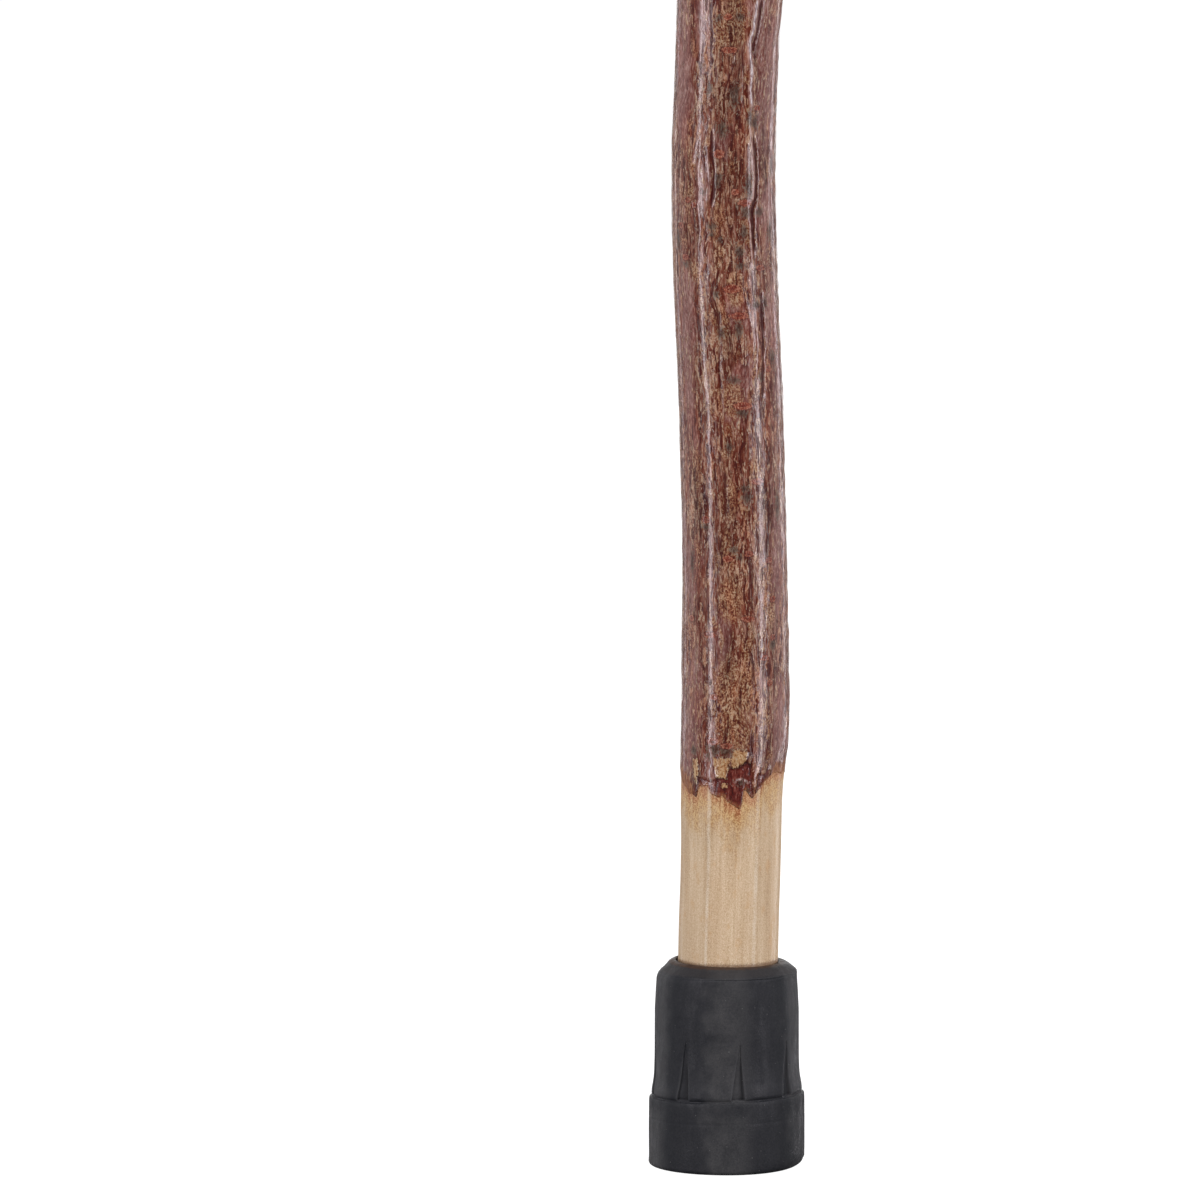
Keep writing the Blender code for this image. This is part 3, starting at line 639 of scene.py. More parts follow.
def build_bark():
    cols = 256
    a = wrap(np.arange(cols) * 360.0 / cols)
    low, high = low_edge(a), high_edge(a)
    first = np.linspace(0, 1, 56)[:, None]
    last = np.linspace(0, 1, 13)[1:, None]
    middle = np.concatenate([np.arange(107.6, 304, 0.6), np.arange(304, 450, 0.9),
                             np.arange(450, 826, 2.0)])
    z = np.concatenate([low * (1 - first) + 107.0 * first,
                        np.repeat(middle[:, None], cols, 1),
                        826.0 * (1 - last) + high * last])
    a = np.broadcast_to(a, z.shape)
    rows = z.shape[0]
    p = fibre_position(a, z)

    # colour masks and relief
    pores = spots(PORES, a, z)
    stains = spots(STAINS, a, z)
    flakes = spots(FLAKES, a, z)
    granular = spots(GRANULAR, a, z)
    taut = spots(TAUT, a, z)
    shaded = spots(SHADED, a, z)
    red = np.full(z.shape, -5.0)
    for outline in RED_PANELS:
        red = np.maximum(red, panel_depth(outline, a, z))
    tan = np.full(z.shape, -5.0)
    for outline in TAN_PANELS:
        tan = np.maximum(tan, panel_depth(outline, a, z))
    # away from the side whose outlines are listed, the torn rim shows red inner bark as well
    rim = z - low_edge(a)
    behind = ease((np.abs(a) - 70) / 20)
    ragged_rim = 1.8 + 2.2 * noise(p * [0.35, 0.35, 0.12], 51) - rim
    red = np.maximum(red, np.where(behind > 0.5, ragged_rim, -5.0))
    top_rim = 1.2 + 2.0 * noise(p * [0.3, 0.3, 0.12], 52) - (high_edge(a) - z)
    red = np.maximum(red, top_rim)
    groove = np.zeros(z.shape)
    wiggle = 0.22 * noise(np.stack([z * 0.35, a * 0.05, 0 * z], -1), 33)
    for points, width, depth in GROOVES:
        d, along = path_distance(points, a, z)
        taper = ease(along * 8) * ease((1 - along) * 8)
        g = np.exp(-(np.maximum(d + wiggle, 0) / (width * 0.75)) ** 2) * taper * depth
        groove = np.maximum(groove, g)
    lip = np.zeros(z.shape)
    for points, width, height in LIPS:
        d, along = path_distance(points, a, z)
        taper = ease(along * 6) * ease((1 - along) * 6)
        g = np.exp(-(np.maximum(d + wiggle * 0.6, 0) / width) ** 2) * taper * height
        lip = np.maximum(lip, g)

    calm = np.clip(1 - taut * 1.1, 0.15, 1)
    lumps = 0.15 * fbm(p * [1 / 10.0, 1 / 10.0, 1 / 26.0], 2, 11)
    creases = noise(p * [1 / 1.9, 1 / 1.9, 1 / 9.0], 12)
    fine = noise(p * [1 / 1.1, 1 / 1.1, 1 / 4.5], 13)
    relief = lumps + calm * (0.042 * (0.35 - np.abs(creases) * 1.4) + 0.020 * fine)
    for points, heights, width in RIDGES:
        d, _ = path_distance(points, a, z)
        strength = np.interp(z, [h[0] for h in heights], [h[1] for h in heights])
        strength = strength * (1 + 0.35 * noise(
            np.stack([z * 0.16, 0 * z + width, 0 * z], -1), 16))
        relief += strength * np.exp(-((d + wiggle) / width) ** 2)
    # the right flank is flatter and knobbly
    flank = np.exp(-(wrap(a - 88) / 24) ** 2) * ease((z - 104) / 50) * ease((291 - z) / 18)
    relief -= 0.52 * flank
    knobs = noise(p * [1 / 2.6, 1 / 2.6, 1 / 4.2], 23) + 0.5 * noise(p * [0.9, 0.9, 0.55], 24)
    edge_on = np.exp(-(wrap(a - 90) / 30) ** 2) + 0.5 * np.exp(-(wrap(a + 90) / 26) ** 2)
    relief += 0.16 * knobs * edge_on * ease((z - 100) / 12)
    relief -= groove
    relief += lip
    relief += 0.10 * np.sin(np.clip(pores, 0, 1) * math.pi) - 0.04 * pores
    relief += 0.05 * ease(flakes * 2.2 - 0.5)
    relief += 0.035 * stains * noise(p * [1.4, 1.4, 0.8], 19)

    # collars of the knots, and the recesses that hold them
    outer = lean_bark(z, a) + relief
    for _, kz, ka, hw, hh, _, face, dome in KNOTS:
        near = (np.abs(z - kz) < 14) & (np.abs(wrap(a - ka)) < 60)
        an, zn = a[near], z[near]
        u = np.radians(wrap(an - ka)) * R0
        v = zn - kz
        q = np.sqrt((u / hw) ** 2 + (v / hh) ** 2)
        collar = 0.30 * np.exp(-((q - 1.16) / 0.16) ** 2)
        collar -= 0.16 * np.exp(-((q - 1.62) / 0.2) ** 2)
        top = float(bark_radius(kz, ka)) + face
        floor = (top - 0.35) / np.cos(np.radians(np.clip(wrap(an - ka), -40, 40)))
        r = outer[near] + collar
        sink = ease((1.04 - q) / 0.16)
        outer[near] = r * (1 - sink) + np.minimum(floor, r) * sink

    wood = wood_radius(z, a)
    # thin, torn lower rim; red inner bark lies lower than the outer bark
    thin = wood + 0.24 + 0.06 * noise(p * [0.8, 0.8, 0.3], 20) + 0.04 * fine
    peel = ease(red / 0.35 + 0.5)
    standing = ease(tan / 0.3 + 0.5)
    outer = outer * (1 - peel) + np.minimum(outer, thin) * peel
    outer = outer + 0.08 * standing * (z < 130)
    reach = 2.2 + 4.6 * ease((a - 46) / 16) * ease((125 - a) / 14)
    feather = ease((rim - 0.1) / (reach + 1.4 * noise(p * [0.5, 0.5, 0.1], 21)))
    feather = np.maximum(feather, standing * 0.8 * ease(rim / 0.5))
    outer = np.minimum(outer, (wood + 0.12) * (1 - feather) + outer * feather)
    feather = ease((high_edge(a) - z) / (2.4 + 1.6 * noise(p * [0.6, 0.6, 0.1], 22)))
    outer = np.minimum(outer, (wood + 0.22) * (1 - feather) + outer * feather)
    outer = np.maximum(outer, wood + 0.10)
    # on the left the bark thins away into the wood without a step
    fade = ease((-a - 44) / 8) * ease((a + 112) / 14) * ease(1 - rim / 6.5)
    fade = np.maximum(fade, ease((a - 42) / 14) * ease((118 - a) / 14) * ease(1 - rim / 5.0))

    inner_rows = np.unique(np.concatenate([
        np.arange(0, 56, 5), np.arange(56, rows - 13, 16),
        np.arange(rows - 13, rows, 3), [rows - 1]]))
    inner_z, inner_a = z[inner_rows][::-1], a[inner_rows][::-1]
    inner_r = wood_radius(inner_z, inner_a) + 0.04
    verts = np.concatenate([place(z, a, outer).reshape(-1, 3),
                            place(inner_z, inner_a, inner_r).reshape(-1, 3)])
    total = rows + len(inner_rows)
    bark = make_object("bark", verts, grid_quads(total, cols, closed_rows=True))

    def both(values, inner=0.0):
        values = values.reshape(-1, *values.shape[2:])
        rest = np.full((len(inner_rows) * cols, *values.shape[1:]), inner)
        return np.concatenate([values, rest])

    set_attribute(bark, "bpos", np.concatenate([
        p.reshape(-1, 3), fibre_position(inner_a, inner_z).reshape(-1, 3)]))
    set_attribute(bark, "marks", both(np.stack([pores, stains, flakes], -1)))
    set_attribute(bark, "torn", both(np.stack([red, tan, rim], -1), -2.0))
    set_attribute(bark, "shape", both(np.stack(
        [np.clip(groove / 0.3, 0, 1), np.clip(lip / 0.24, 0, 1), fade], -1)))
    set_attribute(bark, "zones", both(np.stack([granular, taut, shaded], -1)))
    return bark


# ---------------------------------------------------------------------------
# the wood: shaved tip, core under the bark, and the root that is the handle
# ---------------------------------------------------------------------------
def surface_net(field, origin, step):
    """Faces and vertices where the field is zero, open at the grid's bottom."""
    inside = field < 0
    n = field.shape
    count = np.zeros((n[0] - 1, n[1] - 1, n[2] - 1), np.int8)
    corners = [(i, j, k) for i in (0, 1) for j in (0, 1) for k in (0, 1)]

    def part(arr, c):
        return arr[c[0]:n[0] - 1 + c[0], c[1]:n[1] - 1 + c[1], c[2]:n[2] - 1 + c[2]]

    for c in corners:
        count += part(inside, c)
    active = (count > 0) & (count < 8)
    ids = np.argwhere(active)
    index = np.full(active.shape, -1, np.int64)
    index[active] = np.arange(len(ids))
    total = np.zeros((len(ids), 3))
    hits = np.zeros(len(ids))
    for axis in range(3):
        for c in corners:
            if c[axis]:
                continue
            d = list(c)
            d[axis] = 1
            f0, f1 = part(field, c)[active], part(field, d)[active]
            cross = (f0 < 0) != (f1 < 0)
            t = np.where(cross, f0 / np.where(cross, f0 - f1, 1), 0)
            point = np.tile(np.array(c, float), (len(ids), 1))
            point[:, axis] += t
            total += point * cross[:, None]
            hits += cross
    verts = np.array(origin) + (ids + total / hits[:, None]) * step
    quads = []
    for axis in range(3):
        o1, o2 = (axis + 1) % 3, (axis + 2) % 3
        lower = [slice(None)] * 3
        upper = [slice(None)] * 3
        lower[axis], upper[axis] = slice(0, -1), slice(1, None)
        s0, s1 = inside[tuple(lower)], inside[tuple(upper)]
        where = np.argwhere(s0 != s1)
        ok = ((where[:, o1] > 0) & (where[:, o2] > 0)
              & (where[:, o1] < n[o1] - 1) & (where[:, o2] < n[o2] - 1))
        where = where[ok]
        leaves = s0[tuple(where.T)]
        ring = []
        for d1, d2 in ((-1, -1), (0, -1), (0, 0), (-1, 0)):
            cell = where.copy()
            cell[:, o1] += d1
            cell[:, o2] += d2
            ring.append(index[tuple(cell.T)])
        ring = np.stack(ring, -1)
        quads.append(np.where(leaves[:, None], ring, ring[:, ::-1]))
    return verts, np.concatenate(quads)


def sample(field, origin, step, points):
    """Trilinear value of a grid field at points."""
    q = (points - np.array(origin)) / step
    q = np.clip(q, 0, np.array(field.shape) - 1.001)
    i = np.floor(q).astype(int)
    f = q - i
    out = np.zeros(len(points))
    for dx in (0, 1):
        for dy in (0, 1):
            for dz in (0, 1):
                w = ((f[:, 0] if dx else 1 - f[:, 0]) * (f[:, 1] if dy else 1 - f[:, 1])
                     * (f[:, 2] if dz else 1 - f[:, 2]))
                out += w * field[i[:, 0] + dx, i[:, 1] + dy, i[:, 2] + dz]
    return out


def soft_min(a, b, k):
    h = np.clip(0.5 + 0.5 * (b - a) / k, 0, 1)
    return b * (1 - h) + a * h - k * h * (1 - h)


def soft_max(a, b, k):
    return -soft_min(-a, -b, k)


BURLS = (   # centre, radius: swellings of the root crown
    ((10.0, -9.0, 903.0), 8.5), ((21.0, -9.5, 881.0), 7.5), ((-12.0, 11.0, 905.0), 9.0),
    ((0.0, 3.0, 911.0), 8.0), ((-42.0, -10.5, 897.0), 6.5), ((-65.0, 7.0, 908.0), 6.0),
    ((-95.0, -9.0, 896.0), 7.0), ((5.0, 12.0, 876.0), 8.0), ((-21.0, -13.5, 886.0), 7.0),
    ((27.0, 6.0, 889.0), 6.5),
)
FURROWS = (  # natural hollows between the roots: points, width, depth
    (((1, -15, 852), (-4, -18, 868), (-15, -20, 882), (-27, -17, 893), (-43, -13, 900)),
     2.6, 2.0),
    (((-18, 13, 856), (-23, 17, 874), (-15, 20, 886), (-1, 20, 895), (9, 17, 902)),
     2.4, 1.9),
    (((11, -14, 876), (19, -15, 886), (25, -12, 893)), 1.8, 1.4),
    (((6, -6, 854), (10, -6, 868), (15, -8, 877)), 2.0, 1.5),
    (((-25, 4, 860), (-31, 2, 874), (-39, 2, 884)), 2.2, 1.3),
    (((-57, 10, 913), (-71, 10, 911), (-85, 10, 905)), 1.6, 0.9),
    (((-5, -13, 910), (-19, -14, 911), (-33, -12, 913)), 1.7, 1.1),
)


def polyline_distance(points, x, y, z):
    best = np.full(x.shape, 1e3)
    for p, q in zip(points[:-1], points[1:]):
        p, q = np.array(p, float), np.array(q, float)
        d = q - p
        t = np.clip(((x - p[0]) * d[0] + (y - p[1]) * d[1] + (z - p[2]) * d[2])
                    / (d @ d), 0, 1)
        best = np.minimum(best, np.sqrt((x - p[0] - t * d[0]) ** 2
                                        + (y - p[1] - t * d[1]) ** 2
                                        + (z - p[2] - t * d[2]) ** 2))
    return best


def root_field(x, y, z):
    """Signed distance, about, to the root; also its hollows and its cut ends."""
    cx, cy = centre(z)
    angle = np.degrees(np.arctan2(x - cx, -(y - cy)))
    stem = np.hypot(x - cx, y - cy) - wood_radius(z, angle)
    stem = soft_max(stem, z - 889.0, 8.0)
    yc, zc = table(GRIP, x, 2 - 1), table(GRIP, x, 2)
    hw, hh = table(GRIP, x, 3), table(GRIP, x, 4)
    lump = 1 + 0.03 * np.sin(3 * np.arctan2(z - zc, y - yc) + x / 17.0)
    rho = np.sqrt(((y - yc) / hw) ** 2 + ((z - zc) / hh) ** 2) / lump
    grip = (rho - 1) * np.minimum(hw, hh)
    nose = np.sqrt(((x + 102) / 15.0) ** 2 + ((y - yc) / 15.6) ** 2
                   + ((z - zc) / 15.8) ** 2) - 1
    grip = np.where(x < -102, nose * 15.3, grip)
    body = soft_min(stem, grip, 11.0)
    plain = np.minimum(stem, grip)
    for c, r in BURLS:
        ball = np.sqrt((x - c[0]) ** 2 + (y - c[1]) ** 2 + (z - c[2]) ** 2) - r
        plain = np.minimum(plain, ball)
        body = soft_min(body, ball, 7.0)
    for points, width, depth in FURROWS:
        d = polyline_distance(points, x, y, z)
        body = body + depth * np.exp(-(d / width) ** 2)
    body = soft_max(body, x - 35.0, 1.4)
    for base, way, length, r0, r1 in ROOTLETS:
        base = np.array(base)
        way = np.array(way) / np.linalg.norm(way)
        t = (x - base[0]) * way[0] + (y - base[1]) * way[1] + (z - base[2]) * way[2]
        d = np.sqrt(np.maximum((x - base[0] - t * way[0]) ** 2
                               + (y - base[1] - t * way[1]) ** 2
                               + (z - base[2] - t * way[2]) ** 2, 1e-9))
        u = np.clip(t / length, -0.5, 1)
        cone = d - (r1 + (r0 * 1.15 - r1) * (1 - u) ** 2)
        cone = soft_max(cone, -t - 3, 2)
        plain = np.minimum(plain, cone)
        body = soft_min(body, soft_max(cone, t - length, 1.0), 4.5)
    return body, plain, stem, grip


def build_wood():
    # lathe-like grid of the tip and the core
    cols = 160
    a = np.arange(cols) * 360.0 / cols
    tip = np.concatenate([[15.3, 15.55, 16.1, 16.9, 18.0], np.arange(19.5, 47.5, 1.5),
                          np.arange(47.5, 100, 0.75)])
    core = np.linspace(102, 825, 60)
    zs = np.concatenate([tip, core])
    z = np.repeat(zs[:, None], cols, 1)
    aa = np.broadcast_to(a, z.shape)
    r = wood_radius(z, aa)
    bevel = np.interp(zs, (15.3, 15.55, 16.1, 16.9, 18.0), (0.94, 0.965, 0.985, 0.996, 1.0))
    r = r * bevel[:, None]
    ring = np.stack([np.sin(np.radians(aa)) * 12.2, -np.cos(np.radians(aa)) * 12.2, z], -1)
    shaved = ease((z - 49) / 3) * ease((101 - z) / 2) * (z > 20)
    r = r + shaved * (0.05 * noise(ring * [0.35, 0.35, 0.05], 60)
                      + 0.022 * noise(ring * [1.3, 1.3, 0.09], 61))
    rows = len(zs)
    lathe_verts = place(z, aa, r).reshape(-1, 3) / MM
    bottom = np.array([[float(centre(15.3)[0]), float(centre(15.3)[1]), 15.3]])
    quads = [grid_quads(rows, cols)]
    n_lathe = len(lathe_verts)
    k = np.arange(cols)
    tris = [np.stack([np.full(cols, n_lathe), (k + 1) % cols, k], -1)]
    lathe_g = np.stack([lathe_verts[:, 0] - centre(lathe_verts[:, 2])[0],
                        lathe_verts[:, 1] - centre(lathe_verts[:, 2])[1],
                        lathe_verts[:, 2]], -1)

    # the root, as a smooth blend of its parts on a fine grid
    step = 0.8
    origin = (-121.0, -27.2, 825.8)
    shape = (201, 69, 123)
    gx, gy, gz = np.meshgrid(*[origin[i] + np.arange(shape[i]) * step for i in range(3)],
                             indexing="ij")
    field, plain, stem, grip = root_field(gx, gy, gz)
    verts, net = surface_net(field, origin, step)
    h = step * 0.5
    for _ in range(3):
        value = sample(field, origin, step, verts)
        slope = np.stack([(sample(field, origin, step, verts + np.eye(3)[i] * h)
                           - sample(field, origin, step, verts - np.eye(3)[i] * h)) / (2 * h)
                          for i in range(3)], -1)
        size = np.maximum((slope ** 2).sum(-1), 0.05)
        verts = verts - np.clip(value / size, -0.5, 0.5)[:, None] * slope
    out = slope / np.sqrt(size)[:, None]
    x, y, zz = verts.T

    hollow = np.zeros(len(verts))
    for points, width, depth in FURROWS:
        hollow = np.maximum(hollow, np.exp(-(polyline_distance(points, x, y, zz)
                                             / (width * 0.9)) ** 2))
    blended = np.clip((sample(plain, origin, step, verts) - 0.2) / 2.2, 0, 1)
    cut = np.where(x > 34.2, 1.0, 0.0)
    ring_r = np.hypot(y - 1.9, zz - 879.6)
    for base, way, length, r0, r1 in ROOTLETS:
        base = np.array(base)
        way = np.array(way) / np.linalg.norm(way)
        t = (verts - base) @ way
        d = np.linalg.norm(verts - base - t[:, None] * way, axis=1)
        here = (t > length - 0.55) & (d < r1 + 1.0)
        cut = np.where(here, 1.0, cut)
        ring_r = np.where(here, d, ring_r)
    # fibres: up the stem, then along the grip to both sides
    f_stem, f_grip = sample(stem, origin, step, verts), sample(grip, origin, step, verts)
    turn = ease((f_stem - f_grip + 7) / 14)[:, None]
    cx, cy = centre(zz)
    up = np.stack([x - cx, y - cy, zz], -1)
    yc, zc = table(GRIP, x, 1), table(GRIP, x, 2)
    across = np.tanh((x + 9) / 13.0)
    over = np.stack([(zz - zc) * np.tanh(-(x + 9) / 10.0), y - yc + 6.0 * across,
                     888 + np.sqrt((x + 9) ** 2 + 60.0) + 17.0 * across], -1)
    g = up * (1 - turn) + over * turn
    g = g + 1.6 * np.stack([noise(verts / 13.0, 71), noise(verts / 13.0, 72),
                            3 * noise(verts / 16.0, 73)], -1)
    # surface relief
    fade = ease((zz - 836) / 16)
    keep = 1 - 0.92 * ease(cut)
    move = (0.55 * fbm(verts / 21.0, 2, 62)
            + 0.10 * noise(g * [0.42, 0.42, 0.045], 64)
            + 0.045 * noise(g * [1.3, 1.3, 0.10], 65)
            - 0.35 * ease(hollow * 1.3 - 0.2) * (0.5 + 0.5 * noise(verts / 2.6, 66)))
    verts = verts + out * (move * fade * keep)[:, None]

    # sew the root's open bottom to the core's top ring
    edges = {}
    for q in net[(verts[net][:, :, 2] < 829).any(1)]:
        for i in range(4):
            e = (int(q[i]), int(q[(i + 1) % 4]))
            edges[e] = True
    follow = {b: a_ for (a_, b) in edges if (b, a_) not in edges
              and verts[a_, 2] < 828 and verts[b, 2] < 828}
    start = min(follow)
    loop, at = [start], follow[start]
    while at != start:
        loop.append(at)
        at = follow[at]
    ccx, ccy = centre(826.0)

    def angle_of(v):
        return math.degrees(math.atan2(v[0] - ccx, -(v[1] - ccy))) % 360

    loop_angles = [angle_of(verts[i]) for i in loop]
    turn_sum = sum(((loop_angles[(i + 1) % len(loop)] - loop_angles[i] + 180) % 360) - 180
                   for i in range(len(loop)))
    if turn_sum < 0:
        loop, loop_angles = loop[::-1], loop_angles[::-1]
    first = int(np.argmin(loop_angles))
    loop = loop[first:] + loop[:first]
    loop_angles = loop_angles[first:] + loop_angles[:first]
    offset = n_lathe + 1
    top_row = (rows - 1) * cols
    i = j = 0
    sew = []
    na, nb = cols, len(loop)
    while i < na or j < nb:
        next_a = a[i + 1] if i + 1 < na else 360.0 + (0 if i + 1 == na else 999)
        next_b = loop_angles[j + 1] if j + 1 < nb else (
            360.0 + loop_angles[0] if j + 1 == nb else 9999)
        va, vb = top_row + i % na, offset + loop[j % nb]
        if i < na and (next_a <= next_b or j >= nb):
            sew.append((va, top_row + (i + 1) % na, vb))
            i += 1
        else:
            sew.append((va, offset + loop[(j + 1) % nb], vb))
            j += 1
    all_verts = np.concatenate([lathe_verts, bottom, verts])
    wood = make_object("root_wood", all_verts * MM,
                       np.concatenate(quads + [net + offset]),
                       np.concatenate(tris + [np.array(sew)]))
    gpos = np.concatenate([lathe_g, [[0, 0, 15.3]], g])
    set_attribute(wood, "gpos", gpos)
    n = len(all_verts)
    hollow_all = np.zeros(n)
    hollow_all[offset:] = np.maximum(hollow, 0.75 * blended)
    cut_all = np.zeros(n)
    cut_all[offset:] = cut
    rings = np.zeros(n)
    rings[offset:] = ring_r
    cut_all[all_verts[:, 2] < 15.45] = 1.0
    rings[:offset] = np.hypot(all_verts[:offset, 0], all_verts[:offset, 1])
    set_attribute(wood, "ends", np.stack([cut_all, rings, hollow_all], -1))
    ang = np.degrees(np.arctan2(gpos[:, 0], -gpos[:, 1]))
    below = low_edge(ang) - all_verts[:, 2]
    set_attribute(wood, "zone", np.stack([np.clip(below, -5, 60),
                                          all_verts[:, 2], ang], -1))
    return wood


# ---------------------------------------------------------------------------
# knots
# ---------------------------------------------------------------------------
def build_knot(spec, rings=22, cols=72):
    name, kz, ka, hw, hh, _, face, dome = spec
    eye = name == "branch_knot_2"
    top = float(bark_radius(kz, ka)) + face
    cx, cy = centre(kz)
    t = math.radians(ka)
    out = np.array([math.sin(t), -math.cos(t), 0])
    side = np.array([math.cos(t), math.sin(t), 0])
    up = np.array([0, 0, 1.0])
    base = np.array([float(cx), float(cy), kz])
    q = np.concatenate([np.linspace(0.03, 1.0, rings), [1.06, 1.08, 1.0, 0.92, 0.05]])
    drop = np.concatenate([np.zeros(rings), [0.12, 0.5, 2.4, 4.2, 4.25]])
    w = np.arange(cols) * 2 * math.pi / cols
    qq, ww = np.meshgrid(q, w, indexing="ij")
    dd = np.repeat(drop[:, None], cols, 1)
    u = qq * np.cos(ww) * (hw + 0.25)
    v = qq * np.sin(ww) * (hh + 0.25)
    flat = np.stack([u, v, 0 * u], -1)
    on_face = (np.arange(len(q)) < rings)[:, None]
    rough = 0.05 * noise(flat * 0.9, 80) + 0.03 * noise(flat * 2.6, 81)
    year = 0.018 * np.sin(qq * max(hw, hh) * 2 * math.pi / 0.62 + 1.5 * noise(flat * 0.5, 82))
    radial = np.minimum.reduce([np.abs((ww - c + math.pi) % (2 * math.pi) - math.pi)
                                for c in (0.7, 2.5, 4.4)]) * qq * hw
    split = 0.0 if name == "branch_knot_1" else 0.22
    crack = -split * np.exp(-(radial / 0.14) ** 2) * ease((qq - 0.05) / 0.2) * ease((0.9 - qq) / 0.2)
    height = dome * (1 - qq ** 2) + on_face * (rough + year + crack)
    if eye:
        # a healed eye: wrinkles round a raised button inside a dark ring
        fold = np.sin(np.hypot(flat[..., 0] * 0.62, flat[..., 1] * 1.05) * 5.4
                      + 3.2 * noise(flat * 0.62, 84))
        height = on_face * (0.15 * fold * (1 - qq * 0.4) + 0.20 * noise(flat * 1.5, 85)
                            + 0.40 * np.exp(-(qq / 0.42) ** 2)
                            - 0.34 * np.exp(-((qq - 0.66) / 0.13) ** 2))
    height = height - dd
    points = (base + out * (top + height)[..., None] + side * u[..., None]
              + up * v[..., None]).reshape(-1, 3)
    rows = len(q)
    n = len(points)
    centre_top = base + out * (top + dome + (-0.2 if eye else 0.02))
    centre_low = base + out * (top - 4.25)
    points = np.concatenate([points, [centre_top, centre_low]])
    k = np.arange(cols)
    m = (k + 1) % cols
    last = (rows - 1) * cols
    tris = np.concatenate([np.stack([np.full(cols, n), k, m], -1),
                           np.stack([np.full(cols, n + 1), last + m, last + k], -1)])
    obj = make_object("knot_" + name[-1], points * MM,
                      grid_quads(rows, cols, flip=True), tris)
    face_pos = np.concatenate([np.stack([u, v, qq], -1).reshape(-1, 3),
                               [[0, 0, 0], [0, 0, 1.2]]])
    set_attribute(obj, "fpos", face_pos)
    return obj


# ---------------------------------------------------------------------------
# ferrule and washer
# ---------------------------------------------------------------------------
NOTCH_AT, NOTCH_LOW, NOTCH_TOP = 10.0, 18.4, 32.7


def arc(cr, cz, r, start, end, steps):
    """Points of a rounded corner, angles in degrees from the +radius axis."""
    return [(cr + r * math.cos(math.radians(start + (end - start) * i / steps)),
             cz + r * math.sin(math.radians(start + (end - start) * i / steps)))
            for i in range(steps + 1)]


